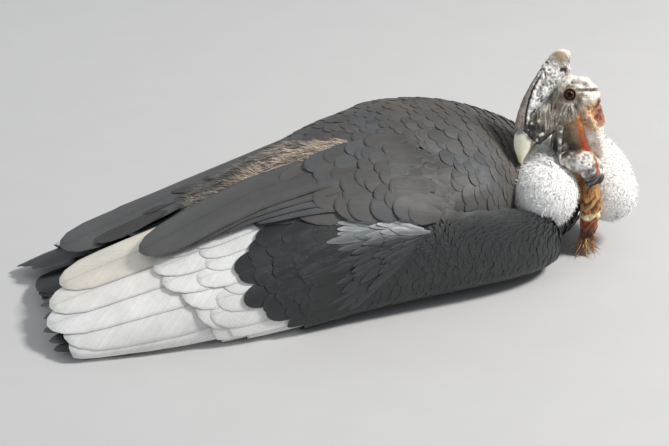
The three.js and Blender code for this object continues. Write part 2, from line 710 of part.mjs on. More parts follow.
function billLower() {
  const depth = profile([66, 9], [80, 9], [90, 7.5], [98, 3]);
  const wide = profile([66, 8.5], [84, 9], [94, 6.5], [98, 3]);
  const sides = 10;
  const rings = [BILL_X + GAP, 86, 92, 96, 98].map((x) =>
    Array.from({ length: sides }, (_, i) => {
      const angle = (2 * Math.PI * i) / sides;
      const top = -9.7 - Math.max(0, (x - 86) * 0.32); // just below the upper bill's edge
      return vector(x, wide(x) * Math.cos(angle), top - (depth(x) / 2) * (1 - Math.sin(angle)));
    }),
  );
  return solid(loft(rings));
}

// Comb: a fleshy fin from the bill over the forehead, its back end free and curled
const combTop = profile(
  [-47, 41], [-44, 50], [-36, 56.5], [-16, 57], [6, 53], [33, 48], [60, 39], [76, 31], [87, 23],
);
const combBase = profile(
  [-47, 38], [-42, 33], [-34, 27], [-26, 19], [-18, 17], [0, 17], [70, 17], [87, 20.5],
);
const combHalf = profile([-47, 3], [-36, 6.5], [-10, 5.5], [30, 5.5], [70, 7], [87, 4]);
const COMB_STATIONS = [-47, -43, -35, -26, -12, 6, 26, 46, 64, 78, 87];
const COMB_LEAN = 0.1; // how fast the free end leans to the right

function comb(tools) {
  const sides = 10;
  const rings = COMB_STATIONS.map((x) =>
    Array.from({ length: sides }, (_, i) => {
      const angle = (2 * Math.PI * i) / sides;
      const rise = 0.5 + 0.5 * power(Math.sin(angle), 0.7);
      const lean = COMB_LEAN * Math.max(0, -x - 20);
      const y = combHalf(x) * power(Math.cos(angle), 0.8) - lean;
      return vector(x, y, mix(combBase(x), combTop(x), rise));
    }),
  );
  return cut(solid(loft(rings)), ...tools);
}

// Wattles: a narrow lappet that hangs under the jaw, in the head's frame, and a low fold of skin down
// the left side of the neck
const LAPPET_PATH = [
  vector(38, 9, -18), vector(51, 12, -29), vector(64, 12, -40), vector(76, 10, -51),
];
const lappet = (grow) =>
  tube(LAPPET_PATH, profile([0, 6], [0.4, 3.2], [1, 2.6]), { steps: 4, sides: 7, grow });
const NECK_FOLD_PATH = [
  vector(284, -121, 226), vector(293, -126, 204), vector(303, -124, 178), vector(311, -117, 152),
];
const neckFold = (grow) =>
  tube(NECK_FOLD_PATH, profile([0, 4], [0.4, 8], [1, 6]), { steps: 4, sides: 7, grow });

const inHead = (geometry) => geometry.clone().applyMatrix4(headMatrix);

// Legs: the scaled shanks lie on the floor beside the belly, with the toes under the breast
const LEG_Y = 66;
const HOCK_X = 2;
const SHANK_Z = 9.8; // height of the shank's axis
const shankRadius = profile([0, 14], [0.25, 10.5], [0.8, 9.5], [1, 11]);

function shank(side, grow) {
  const path = [[HOCK_X, 12], [HOCK_X + TARSUS_LENGTH / 2, SHANK_Z], [HOCK_X + TARSUS_LENGTH, SHANK_Z]];
  return tube(path.map(([x, z]) => vector(x, side * LEG_Y, z)), shankRadius, { steps: 3, sides: 8, grow });
}

// [name, turn in degrees, length, radius]
const TOES = [["inner", -24, 66, 7.5], ["middle", 0, 96, 8], ["outer", 22, 68, 7], ["hind", 152, 30, 6]];
const TOE_HEIGHTS = [[0, 10], [0.4, 8.4], [0.8, 6.6], [1, 5.8]]; // [share of the length, height]
const FOOT_X = HOCK_X + TARSUS_LENGTH + 10;
const footMiddle = (side) => vector(FOOT_X, side * LEG_Y, 10);

function toeLine(side, turn, length) {
  const angle = radians(turn * side);
  const out = vector(Math.cos(angle), Math.sin(angle), 0);
  return TOE_HEIGHTS.map(([share, height]) =>
    footMiddle(side).addScaledVector(out, 6 + length * share).setZ(height));
}

function foot(side, grow) {
  const pad = ellipsoid(footMiddle(side), vector(14, 14, 10.5).addScalar(grow), { sides: 8, rows: 5 });
  const toes = TOES.map(([, turn, length, radius]) => {
    const round = profile([0, radius + 1.5], [0.45, radius - 1], [0.6, radius], [1, radius - 1.5]);
    return tube(toeLine(side, turn, length), round, { steps: 3, sides: 5, grow });
  });
  return joined(pad, ...toes);
}

function claw(side, turn, length, radius, grow) {
  const angle = radians(turn * side);
  const out = vector(Math.cos(angle), Math.sin(angle), 0);
  const start = toeLine(side, turn, length).at(-1).addScaledVector(out, GAP);
  const path = [[0, 0], [8, 1.2], [15, -1], [20, -4.4]].map(([ahead, up]) =>
    start.clone().addScaledVector(out, ahead).add(vector(0, 0, up)));
  return tube(path, profile([0, radius - 2.2], [1, 0.9]), { steps: 3, sides: 5, grow });
}

/** A floor block that flattens whatever is below z = 0. */
const underFloor = () => {
  const block = new THREE.BoxGeometry(1600, 900, 100);
  block.translate(0, 0, -50);
  return block;
};

// Assembly: each piece is cut clear of what it grows from
const condor = new THREE.Group();
const floor = solid(underFloor());
const bodyCutter = solid(bodyLoft(GAP));
const neckLowerCutter = solid(neckLength(0, NECK_SPLIT, GAP));
const neckUpperCutter = joined(neckLength(NECK_SPLIT, 1, GAP), neckFold(GAP));
const ruffCutter = ruffTube(1, 3, { sides: 10, rows: 5, steps: 6 });
const headPieces = [...headMass(GAP), lid(-1, GAP), lid(1, GAP)];
const headCutter = joined(...headPieces.map(inHead));
const legTools = [-1, 1].flatMap((side) => [
  solid(shank(side, GAP)),
  foot(side, GAP),
  ...TOES.map(([, turn, length, radius]) => solid(claw(side, turn, length, radius, GAP))),
]);

const torso = cut(solid(bodyLoft(0)), ruffCutter, ...legTools);
condor.add(meshOf("torso", torso, FEATHER_BLACK));
condor.add(meshOf("tail", cut(tail(), bodyCutter, floor), FEATHER_BLACK));
for (const [side, name] of [[-1, "right"], [1, "left"]]) {
  condor.add(meshOf(`wing_${name}`, wing(side, [bodyCutter, ruffCutter, floor]), FEATHER_BLACK));
}

const neckLower = cut(solid(neckLength(0, NECK_SPLIT, 0)), bodyCutter);
const neckUpper = cut(joined(neckLength(NECK_SPLIT, 1, 0), neckFold(0)), neckLowerCutter, headCutter);
const crop = cut(solid(cropTube(0)), neckLowerCutter, neckUpperCutter, floor);
const cropCutter = solid(cropTube(GAP));
const roll = cut(solid(rollTube(0)), neckLowerCutter, neckUpperCutter, cropCutter);
const ruffTools = [
  neckLowerCutter, neckUpperCutter, cropCutter, solid(rollTube(GAP)), bodyCutter.subtract(ruffCutter),
  floor,
];
condor.add(meshOf("neck_lower", neckLower, SKIN_BROWN));
condor.add(meshOf("neck_upper", neckUpper, SKIN_GREY));
condor.add(meshOf("crop", crop, SKIN_BROWN));
condor.add(meshOf("throat_roll", roll, SKIN_GREY));
condor.add(meshOf("ruff", ruff(ruffTools), DOWN_WHITE));

const headGroup = new THREE.Group();
headGroup.matrixAutoUpdate = false;
headGroup.matrix.copy(headMatrix);
condor.add(headGroup);
headGroup.add(meshOf("head", head(), SKIN_GREY));
const wattle = cut(solid(lappet(0)), joined(...headMass(GAP)));
headGroup.add(meshOf("wattle_throat", wattle, SKIN_GREY));
headGroup.add(meshOf("bill_upper", billUpper(), BILL_IVORY));
headGroup.add(meshOf("bill_lower", billLower(), BILL_DARK));
headGroup.add(meshOf("comb", comb([solid(headLoft(GAP)), billUpper(GAP)]), SKIN_GREY));
for (const [side, name] of [[-1, "right"], [1, "left"]]) {
  headGroup.add(meshOf(`eye_${name}`, solid(eyeBall(side, 0)), EYE_BROWN));
}

for (const [side, name] of [[-1, "right"], [1, "left"]]) {
  const footCutter = foot(side, GAP);
  const leg = cut(solid(shank(side, 0)), footCutter, floor);
  condor.add(meshOf(`leg_${name}`, leg, SKIN_GREY));
  condor.add(meshOf(`foot_${name}`, cut(foot(side, 0), floor), SKIN_GREY));
  for (const [toe, turn, length, radius] of TOES) {
    const piece = cut(solid(claw(side, turn, length, radius, 0)), footCutter, floor);
    condor.add(meshOf(`claw_${name}_${toe}`, piece, CLAW_BLACK));
  }
}

export default condor;
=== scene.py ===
"""A male Andean condor that lies on its belly, dressed on its solids.

All sizes below are in millimetres until a mesh is made: +X runs to the breast, +Y to the bird's left
and +Z up, with the origin on the floor under the breast.
"""
import math

import bpy
import numpy as np
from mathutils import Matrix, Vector


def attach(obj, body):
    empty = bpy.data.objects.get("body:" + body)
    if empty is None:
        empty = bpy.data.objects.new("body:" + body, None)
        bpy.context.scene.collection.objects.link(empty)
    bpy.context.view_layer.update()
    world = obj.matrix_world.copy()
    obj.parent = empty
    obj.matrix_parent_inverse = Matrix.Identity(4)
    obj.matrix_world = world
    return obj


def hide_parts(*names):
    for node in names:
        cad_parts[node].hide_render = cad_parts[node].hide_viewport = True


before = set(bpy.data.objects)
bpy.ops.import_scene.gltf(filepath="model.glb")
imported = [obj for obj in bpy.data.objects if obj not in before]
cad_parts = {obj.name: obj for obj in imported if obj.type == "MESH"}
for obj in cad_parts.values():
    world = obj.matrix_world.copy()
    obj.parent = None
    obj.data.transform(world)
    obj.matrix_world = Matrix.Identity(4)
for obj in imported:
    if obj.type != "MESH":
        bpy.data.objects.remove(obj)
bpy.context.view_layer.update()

MM = 0.001
PATCH = 0.003  # a feather's share of the unwrap
random = np.random.default_rng(20)


# Camera

AIM = Vector((-0.033, 0.031, 0.037))
CAMERA_TURN = math.radians(-20)
CAMERA_RISE = math.radians(26)
CAMERA_DISTANCE = 4.0
SENSOR_WIDTH = 36
FOCAL_PIXELS = 2800
IMAGE_WIDTH = 669
VIEW_DEPTH = 50  # metres


def place_in_scene(name, data):
    """A new object of the scene."""
    piece = bpy.data.objects.new(name, data)
    bpy.context.scene.collection.objects.link(piece)
    return piece


def turn_to_aim(piece, away):
    piece.rotation_euler = away.to_track_quat("Z", "Y").to_euler()


def make_camera():
    away = Vector((
        math.sin(CAMERA_TURN) * math.cos(CAMERA_RISE),
        -math.cos(CAMERA_TURN) * math.cos(CAMERA_RISE),
        math.sin(CAMERA_RISE),
    ))
    data = bpy.data.cameras.new("camera")
    data.sensor_width = SENSOR_WIDTH
    data.lens = SENSOR_WIDTH * FOCAL_PIXELS / IMAGE_WIDTH
    data.clip_end = VIEW_DEPTH
    camera = place_in_scene("camera", data)
    camera.location = AIM + away * CAMERA_DISTANCE
    turn_to_aim(camera, away)
    bpy.context.scene.camera = camera


# Curves and noise

SPLINE_PARTS = 24  # straight pieces between two points of a path, before they are spaced evenly
PRIMES = (73856093, 19349663, 83492791)  # turn a cell of the noise into a number that looks random
MIXER = 1274126177


def profile(*keys):
    """A smooth curve through (place, value) pairs that never overshoots."""
    places, values = np.array(keys, float).T
    steps = np.diff(values) / np.diff(places)
    before, after = steps[:-1], steps[1:]
    same = before * after > 0
    inner = np.where(same, 2 * before * after / np.where(same, before + after, 1), 0)
    slopes = np.concatenate([steps[:1], inner, steps[-1:]])

    def curve(place):
        at = np.clip(place, places[0], places[-1])
        i = np.clip(np.searchsorted(places, at, side="right") - 1, 0, len(places) - 2)
        width = places[i + 1] - places[i]
        t = (at - places[i]) / width
        t2, t3 = t**2, t**3
        ends = values[i] * (2 * t3 - 3 * t2 + 1) + values[i + 1] * (3 * t2 - 2 * t3)
        return ends + width * (slopes[i] * (t3 - 2 * t2 + t) + slopes[i + 1] * (t3 - t2))

    return curve


def mix(a, b, t):
    return a + (b - a) * t


def ramp(value, low, high):
    """0 below low, 1 above high, smooth between; low may be the larger."""
    t = np.clip((value - low) / (high - low), 0, 1)
    return t * t * (3 - 2 * t)


def power(value, exponent):
    return np.sign(value) * np.abs(value) ** exponent


def unit(vectors):
    return vectors / np.maximum(np.linalg.norm(vectors, axis=-1, keepdims=True), 1e-9)


def noise(points, size, seed=0):
    """Smooth numbers from -1 to 1 that change over about `size` mm; size may differ along x, y and z."""
    at = np.asarray(points, float) / np.asarray(size, float) + 31.7 * seed + 1000
    cell = np.floor(at).astype(np.int64)
    part = at - cell
    part = part * part * (3 - 2 * part)
    total = np.zeros(at.shape[:-1])
    for corner in np.ndindex(2, 2, 2):
        x, y, z = np.moveaxis(cell + corner, -1, 0)
        mixed = (x * PRIMES[0]) ^ (y * PRIMES[1]) ^ (z * PRIMES[2])
        mixed = (mixed ^ (mixed >> 13)) * MIXER
        value = ((mixed ^ (mixed >> 16)) & 0xFFFF) / 32767.5 - 1
        weight = np.prod(np.where(corner, part, 1 - part), axis=-1)
        total += value * weight
    return total


def ridges(points, size, seed=0):
    """1 on thin crests and towards 0 between them."""
    return 1 - np.abs(noise(points, size, seed)) ** 0.7


def colour(red, green, blue):
    return np.array([red, green, blue], float)


def srgb(red, green, blue):
    """A colour given as on a screen, 0 to 255."""
    value = np.array([red, green, blue]) / 255
    return np.where(value <= 0.04045, value / 12.92, ((value + 0.055) / 1.055) ** 2.4)


def blend(base, over, weight):
    """Lays a colour over another, each point with its own weight from 0 to 1."""
    return mix(base, over, np.clip(weight, 0, 1)[:, None])


def layered(tint, *layers):
    """Lays colours over a tint in turn, each of 0 to 255 or ready for each point, and with its weight."""
    for over, weight in layers:
        tint = blend(tint, srgb(*over) if isinstance(over, tuple) else over, weight)
    return tint


# Surfaces that the feathers lie on

NEAR, FAR = -1, 1  # the bird's right wing is the near one
WING_SHAPE = {
    NEAR: {
        "half_width": profile(
            (-505, 172), (-480, 180), (-430, 190), (-350, 199), (-250, 205), (-100, 208), (60, 206),
            (130, 202), (175, 195), (210, 183), (233, 166), (246, 144),
        ),
        "top": profile(
            (-505, 33), (-450, 56), (-350, 98), (-300, 118), (-200, 156), (-100, 186), (0, 203),
            (90, 206), (150, 190), (210, 164), (246, 140),
        ),
    },
    FAR: {
        "half_width": profile(
            (-505, 112), (-480, 119), (-430, 130), (-350, 142), (-250, 153), (-100, 170), (60, 194),
            (130, 197), (175, 193), (210, 183), (233, 166), (246, 144),
        ),
        "top": profile(
            (-505, 30), (-450, 45), (-350, 72), (-300, 87), (-200, 118), (-100, 148), (0, 180),
            (90, 200), (150, 190), (210, 164), (246, 140),
        ),
    },
}
wing_middle = profile(
    (-525, 9), (-450, 10), (-300, 14), (-150, 26), (0, 40), (150, 46), (210, 49), (246, 52),
)
WING_DEPTH = -8
WING_SUPER = 0.8  # below 1 the section is boxier than an ellipse
CLEARANCE = 1.2  # least height of a surface above the floor

body_half_width = profile(
    (-305, 34), (-280, 50), (-230, 74), (-170, 99), (-100, 121), (-30, 136), (60, 141), (120, 138),
    (165, 131), (215, 117), (250, 99), (275, 80), (292, 56), (300, 34),
)
body_top = profile(
    (-305, 78), (-280, 89), (-230, 113), (-170, 140), (-100, 168), (-30, 191), (50, 205), (110, 203),
    (165, 190), (215, 169), (250, 149), (275, 129), (292, 110), (300, 94),
)
body_bottom = profile(
    (-305, 48), (-280, 40), (-230, 28), (-170, 14), (-100, 2), (-40, -3), (150, -3), (180, 0),
    (215, 9), (250, 22), (275, 34), (292, 48), (300, 58),
)
BODY_SUPER = 0.83
BODY_WAIST = 0.46  # height of the widest line as a share of the body's
SHOULDER_FILL = 27  # how far the breast's side feathers stand out into the wing's bend


def describe(surface, steps, side, least, x_range, b_range):
    """Notes on a surface: the steps of its slopes, the side that it faces, the least b at which slopes
    are taken, and the ranges of x and b that its unwrap covers as (start, length)."""
    surface.steps = steps
    surface.side = side
    surface.least = least
    surface.unwrap = lambda x, b: np.stack(
        [(x - x_range[0]) / x_range[1], (b - b_range[0]) / b_range[1]], -1)
    return surface


def wing_surface(side):
    """A wing's outer face: x, and q from 0 on the midline over 1 at the widest line to the floor."""
    shape = WING_SHAPE[side]

    def point(x, q):
        turn = math.pi / 2 * np.where(q <= 1, np.maximum(q, 0) ** 1.25, 1 + 1.25 * (q - 1))
        middle = wing_middle(x)
        rise = power(np.cos(turn), WING_SUPER)
        z = middle + rise * np.where(rise > 0, shape["top"](x) - middle, middle - WING_DEPTH)
        y = shape["half_width"](x) * power(np.sin(turn), WING_SUPER)
        return np.stack([x + 0 * y, side * y, np.maximum(z, CLEARANCE)], -1)

    return describe(point, (2, 0.01), side, 0.012, (-510, 770), (0, 1.5))


def body_point(x, degrees):
    """The body's face: x, and the angle from the back's midline, positive to the bird's left."""
    turn = np.radians(degrees)
    low, high = body_bottom(x), body_top(x)
    middle = mix(low, high, BODY_WAIST)
    rise = power(np.cos(turn), BODY_SUPER)
    z = middle + rise * np.where(rise > 0, high - middle, middle - low)
    y = body_half_width(x) * power(np.sin(turn), BODY_SUPER)
    return np.stack([x + 0 * y, y, np.maximum(z, CLEARANCE)], -1)


def coat_point(x, degrees):
    """The level that the body's feathers lie on: the body, filled out towards the wings' bends."""
    aside = np.abs(degrees)
    front = np.where(degrees < 0, ramp(x, 178, 118), ramp(x, 284, 222))
    fill = ramp(aside, 34, 76) * ramp(aside, 128, 98) * ramp(x, -10, 60) * front
    fill = np.maximum(fill, ramp(aside, 84, 108) * ramp(aside, 170, 140) * ramp(x, 150, 215))
    return body_point(x, degrees) + outward(body_point, x, degrees) * (SHOULDER_FILL * fill)[..., None]


for body_surface in (body_point, coat_point):
    describe(body_surface, (2, 1), 1, -1000, (-310, 620), (-180, 360))


def slopes(surface, a, b):
    """How the surface moves over its step along a and along b."""
    da, db = surface.steps
    b = np.maximum(b, surface.least)
    return surface(a + da, b) - surface(a - da, b), surface(a, b + db) - surface(a, b - db)


def outward(surface, a, b):
    """The surface's unit normal, away from the bird."""
    return unit(np.cross(*slopes(surface, a, b))) * surface.side


def scales(surface, a, b):
    """Millimetres to one unit of a and of b."""
    da, db = surface.steps
    along, round_it = (np.linalg.norm(slope, axis=-1) for slope in slopes(surface, a, b))
    return np.maximum(along / (2 * da), 0.3), np.maximum(round_it / (2 * db), 0.3 / db)


# Meshes

def link(name, mesh, material, replaces=()):
    """Makes a mesh a piece of the model, in place of the solids that it replaces."""
    piece = place_in_scene(name, mesh)
    mesh.materials.append(material)
    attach(piece, "root")
    if replaces:
        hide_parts(*replaces)


def mesh_of(name, points, faces, tints=None, layers=None):
    """A smooth mesh from points in mm and faces of one corner count, with colours and UV maps by point."""
    points = np.asarray(points, np.float32).reshape(-1, 3)
    faces = np.asarray(faces, np.int32)
    corners = faces.shape[1]
    mesh = bpy.data.meshes.new(name)
    mesh.vertices.add(len(points))
    mesh.vertices.foreach_set("co", (points * MM).ravel())
    mesh.loops.add(faces.size)
    mesh.loops.foreach_set("vertex_index", faces.ravel())
    mesh.polygons.add(len(faces))
    mesh.polygons.foreach_set("loop_start", np.arange(0, faces.size, corners, dtype=np.int32))
    mesh.polygons.foreach_set("use_smooth", np.ones(len(faces), bool))
    mesh.update(calc_edges=True)
    mesh.validate()
    for layer, places in (layers or {}).items():
        uv = mesh.uv_layers.new(name=layer)
        uv.data.foreach_set("uv", np.asarray(places, np.float32)[faces.ravel()].ravel())
    if tints is not None:
        layer = mesh.color_attributes.new("Tint", "FLOAT_COLOR", "POINT")
        tints = np.concatenate([tints, np.ones((len(tints), 1))], axis=1)
        layer.data.foreach_set("color", tints.astype(np.float32).ravel())
    return mesh


def tube_rings(path, radius, steps, sides):
    """Points and faces of a closed round tube along a smooth path."""
    curve = spline(path, steps)
    tangents = unit(np.gradient(curve, axis=0))
    across = unit(np.cross(tangents[0], (0.3, 0.2, 1.0)))
    rings = []
    for middle, tangent, share in zip(curve, tangents, np.linspace(0, 1, steps + 1)):
        across = unit(across - tangent * (across @ tangent))
        up = np.cross(tangent, across)
        turn = np.linspace(0, 2 * math.pi, sides, endpoint=False)[:, None]
        size = radius(share)
        rings.append(middle + size * (np.cos(turn) * across + np.sin(turn) * up))
    return close_rings(rings)


def close_rings(rings):
    """Quads between rings of equal count, with the ends drawn together to points."""
    rings = [np.repeat(rings[0].mean(0)[None], len(rings[0]), 0), *rings,
             np.repeat(rings[-1].mean(0)[None], len(rings[0]), 0)]
    points = np.concatenate(rings)
    sides = len(rings[0])
    j = np.arange(sides)
    after = (j + 1) % sides
    faces = [np.stack([i * sides + j, i * sides + after, (i + 1) * sides + after, (i + 1) * sides + j], -1)
             for i in range(len(rings) - 1)]
    return points, np.concatenate(faces)


def spline(path, steps):
    """Evenly spaced points of a smooth curve through a path."""
    path = np.asarray(path, float)
    padded = np.concatenate([2 * path[:1] - path[1:2], path, 2 * path[-1:] - path[-2:-1]])
    fine = []
    for i in range(len(path) - 1):
        a, b, c, d = padded[i:i + 4]
        t = np.linspace(0, 1, SPLINE_PARTS, endpoint=False)[:, None]
        fine.append(0.5 * (2 * b + (c - a) * t + (2 * a - 5 * b + 4 * c - d) * t**2
                           + (3 * b - 3 * c + d - a) * t**3))
    fine = np.concatenate([*fine, path[-1:]])
    reach = np.concatenate([[0], np.cumsum(np.linalg.norm(np.diff(fine, axis=0), axis=1))])
    at = np.linspace(0, reach[-1], steps + 1)
    return np.stack([np.interp(at, reach, fine[:, k]) for k in range(path.shape[1])], -1)


# Feathers

LEAST_HEIGHT = 0.6  # of any feather's point above the floor


class Coat:
    """Gathers feathers, which are grids of points, and makes them one mesh."""

    def __init__(self):
        self.points, self.faces, self.tints = [], [], []
        self.layers = {"OFBake": [], "Vane": [], "Barb": []}
        self.count = 0

    def add(self, grid, tint, form, places):
        """grid is (feathers, rows, columns, 3); places are the roots' on the unwrap, 0 to 1."""
        along, across = form
        feathers, rows, columns, _ = grid.shape
        grid = grid.copy()
        grid[..., 2] = np.maximum(grid[..., 2], LEAST_HEIGHT)
        i, j = np.meshgrid(np.arange(rows - 1), np.arange(columns - 1), indexing="ij")
        first = (i * columns + j).ravel()
        quads = np.stack([first, first + 1, first + columns + 1, first + columns], -1)
        starts = self.count + np.arange(feathers)[:, None, None] * rows * columns
        self.faces.append((quads[None] + starts).reshape(-1, 4))
        self.count += feathers * rows * columns
        self.points.append(grid.reshape(-1, 3))
        self.tints.append(np.broadcast_to(tint, grid.shape).reshape(-1, 3))

        # The feather's patch of the unwrap, its place across and along the vane, and both in centimetres
        vane = np.stack(np.broadcast_arrays(across[None, :] / 2 + 0.5, along[:, None]), -1)
        patch = np.clip(places, 0.01, 0.99)[:, None, None, :] + (vane - 0.5)[None] * PATCH
        shaft = grid[:, :, columns // 2, :]
        steps = np.linalg.norm(np.diff(shaft, axis=1), axis=-1)
        reach = np.concatenate([np.zeros((feathers, 1)), np.cumsum(steps, axis=1)], axis=1)
        aside = np.linalg.norm(grid - shaft[:, :, None], axis=-1)
        barb = np.stack([aside, reach[:, :, None] + 0 * aside], -1) / 10
        for layer, values in (("OFBake", patch), ("Vane", vane), ("Barb", barb)):
            values = np.broadcast_to(values, (feathers, rows, columns, 2))
            self.layers[layer].append(values.reshape(-1, 2))

    def make(self, name, material, slot, replaces=()):
        points, faces, tints = (np.concatenate(parts) for parts in (self.points, self.faces, self.tints))
        layers = {layer: np.concatenate(parts) for layer, parts in self.layers.items()}
        link(name, mesh_of(name, points, faces, tints, layers), material, replaces)


# A feather's rows as shares of its length, and its columns from -1 to 1
STRAND = (np.array([0, 0.35, 0.7, 1.0]), np.array([-1, 1.0]))
SMALL = (np.array([0, 0.4, 0.7, 0.87, 0.96, 1.0]), np.array([-1, 0, 1.0]))
MIDDLE = (np.array([0, 0.3, 0.55, 0.72, 0.84, 0.92, 0.975, 1.0]), np.linspace(-1, 1, 5))
LARGE = (np.array([0, 0.2, 0.4, 0.58, 0.72, 0.82, 0.9, 0.96, 0.99, 1.0]), np.linspace(-1, 1, 7))
ROUND_FROM = 0.5  # share of the length after which a feather's end is round
ROOT_WIDTH = 0.36  # share of the full width
ROW_JITTER = 0.18
LEAST_GAP = 0.06  # feathers that lie closer side by side than this share of q are stacked less steeply


def vary(*shape):
    """Random numbers from -1 to 1."""
    return random.uniform(-1, 1, shape)


def outline(along, round_from=ROUND_FROM):
    """Half the width of a feather at each share of its length."""
    body = mix(ROOT_WIDTH, 1.0, ramp(along, 0, 0.5))
    end = np.clip((along - round_from) / (1 - round_from), 0, 1)
    return body * np.sqrt(np.maximum(1 - end**2.4, 0.004))


def lay(surface, a, b, heading, length, width, low, high, form=SMALL, camber=0.05, tilt=0.0, curve=1.6):
    """Feathers on a surface from roots (a, b). heading is their turn in radians from straight back
    towards larger b, low and high are the lifts of root and tip, tilt raises the side of larger b."""
    along, across = form
    a, b, heading, length, width, low, high, tilt = (
        np.broadcast_to(np.asarray(v, float), np.shape(a))[:, None, None]
        for v in (a, b, heading, length, width, low, high, tilt)
    )
    u, v = along[None, :, None], across[None, None, :]
    scale_a, scale_b = scales(surface, a, b)
    reach = length * u
    aside = width / 2 * outline(u) * v
    at_a = a - (np.cos(heading) * reach - np.sin(heading) * aside) / scale_a
    at_b = b + (np.sin(heading) * reach + np.cos(heading) * aside) / scale_b
    rise = mix(low, high, u**curve) + camber * width * outline(u) * (1 - v**2) + tilt * aside
    return surface(at_a, at_b) + outward(surface, at_a, at_b) * rise[..., None]


def shades(count, base, form, spread=0.16, edge=0.9, shaft=1.0, warm=0.0):
    """Colours of feathers: each differs a little, with the shaft lighter or darker, the edge darker by edge
    as painted shadow between overlapping feathers, and the root darker as painted shade.
    """
    along, across = form
    own = np.broadcast_to(base, (count, 3)) * (1 + spread * vary(count, 1))
    own = own * (1 + warm * random.uniform(-0.2, 1, (count, 1)) * np.array([1.0, 0.25, -0.6]))
    # Painted shadow: the rim darkens by edge, where the feather's outline meets the feathers it overlaps
    rim = np.maximum(ramp(np.abs(across)[None, :], 0.55, 1.0) + 0 * along[:, None],
                     ramp(along, 0.9, 1.0)[:, None])
    middle = ramp(np.abs(across), 0.2, 0.0)[None, :]
    # Painted shade: darker towards the root, which lies under other feathers
    root_painted_shade = mix(0.78, 1.0, ramp(along, 0.1, 0.6))[:, None]
    pattern = (1 + (edge - 1) * rim) * (1 + (shaft - 1) * middle) * root_painted_shade
    return own[:, None, None, :] * pattern[None, :, :, None]


def rows_on(surface, a_of_row, b_from, b_to, gap_of_row):
    """The a and b of roots in staggered rows."""
    roots = []
    for number, (a, gap) in enumerate(zip(a_of_row, gap_of_row)):
        fine = np.linspace(b_from(a), b_to(a), 60)
        steps = np.linalg.norm(np.diff(surface(np.full(60, a), fine), axis=0), axis=1)
        reach = np.concatenate([[0], np.cumsum(steps)])
        count = max(int(reach[-1] / gap), 1)
        at = (np.arange(count) + 0.5 * (number % 2) + 0.25 + ROW_JITTER * vary(count)) / count
        places = np.interp(at * reach[-1], reach, fine)
        shift = ROW_JITTER * gap * vary(count)
        roots += [(a + s, p) for s, p in zip(shift, places)]
    return np.array(roots).T


BLACK = colour(0.019, 0.022, 0.023)
SLATE = colour(0.084, 0.089, 0.094)
SLATE_BROWN = colour(0.088, 0.081, 0.074)
# Pale grey of the elbow's ruffled feathers: a painted sheen
RUFFLED_SHEEN = colour(0.135, 0.145, 0.15)
WHITE = colour(0.80, 0.80, 0.78)
CREAM = colour(0.80, 0.745, 0.65)
DOWN_BROWN = colour(0.52, 0.43, 0.33)


def tier(coat, surface, count, root_x, root_q, tips, lifts, width, step, tint, jitter, round_from,
         warm=0.0, bend=None, inner_lift=0.0):
    """Long feathers side by side from a line of roots to a line of tips. Each lies a step over the
    next one outward, so none crosses another. tips are the x by share and the first and last q, lifts
    are the root's and the tip's, and bend is how far q departs from straight, by x."""
    tip_x, tip_q = tips
    share = np.linspace(0, 1, count)
    tip = tip_x(share) + jitter * vary(count)
    far = min(tip.min(), float(np.min(tip_x(np.linspace(0, 1, 20)))))
    along, across = LARGE
    u, v = along[None, :, None], across[None, None, :]
    x = mix(root_x, tip[:, None, None], u) + 0 * v
    reached = (root_x - x) / (root_x - far)
    q = mix(mix(*root_q, share)[:, None, None], mix(*tip_q, share)[:, None, None], reached)
    if bend:
        q = q + bend(x)
    _, scale_q = scales(surface, x, q)
    half = width / 2 * outline(u, round_from)
    aside = half * v
    gap_q = mix((root_q[1] - root_q[0]), (tip_q[1] - tip_q[0]), reached) / max(count - 1, 1)
    columns = aside / scale_q / np.maximum(gap_q, LEAST_GAP)
    q = np.maximum(q + aside / scale_q, 0.004)
    rise = mix(*lifts, 1 - (1 - reached) ** 3) + columns * step
    rise = rise + VANE_CAMBER * half * (1 - v**2) + inner_lift * (1 - share)[:, None, None]
    grid = surface(x, q) + outward(surface, x, q) * rise[..., None]
    base = tint(share) if callable(tint) else tint
    places = surface.unwrap(x[:, 0, 0], q[:, 0, len(across) // 2])
    coat.add(grid, shades(count, base, LARGE, 0.05, 0.9, 0.95, warm), LARGE, places)


# Wings

VANE_CAMBER = 0.03  # how far a vane arches, as a share of its half width
# Tips of the long feathers as x by share from the innermost to the outermost, and their first and last q
TIERS = {
    NEAR: {
        "secondary": (profile((0, -462), (0.2, -484), (0.5, -493), (0.8, -474), (1, -405)), (0.13, 1.02)),
        "primary": (profile((0, -498), (1, -497)), (0.2, 0.74)),
        "tertial": (profile((0, -351), (0.5, -296), (1, -222)), (0.30, 0.325)),
    },
    FAR: {
        "secondary": (profile((0, -392), (0.4, -402), (0.7, -424), (1, -400)), (0.25, 1.02)),
        "primary": (profile((0, -470), (1, -484)), (0.4, 0.78)),
        "tertial": (profile((0, -430), (0.5, -330), (1, -225)), (0.3, 0.52)),
    },
}
UPPER_TIERS = {
    "edge": (profile((0, -330), (0.5, -322), (1, -262)), (0.32, 1.16)),
    "upper": (profile((0, -276), (0.5, -284), (1, -226)), (0.4, 1.18)),
}
FLIGHT_TIERS = [
    # name, feathers, roots' x, first and last root's q, lifts, width, step, jitter, end round from
    ("primary", 5, -110, (0.5, 0.95), (-12, -13.5), 64, 1.6, 6, ROUND_FROM),
    ("secondary", 6, -110, (0.4, 1.08), (-10, -4.6), 92, 2.2, 8, 0.84),
    ("edge", 8, -96, (0.4, 1.24), (-7, 0.2), 66, 1.8, 20, 0.76),
    ("upper", 11, -90, (0.42, 1.24), (-5, 2.0), 48, 1.2, 18, 0.74),
]
# Where the black of the coverts ends on the white, as x by q
covert_edge = profile(
    (0.45, -178), (0.55, -200), (0.63, -236), (0.77, -240), (0.92, -228), (1.0, -190), (1.2, -150),
)
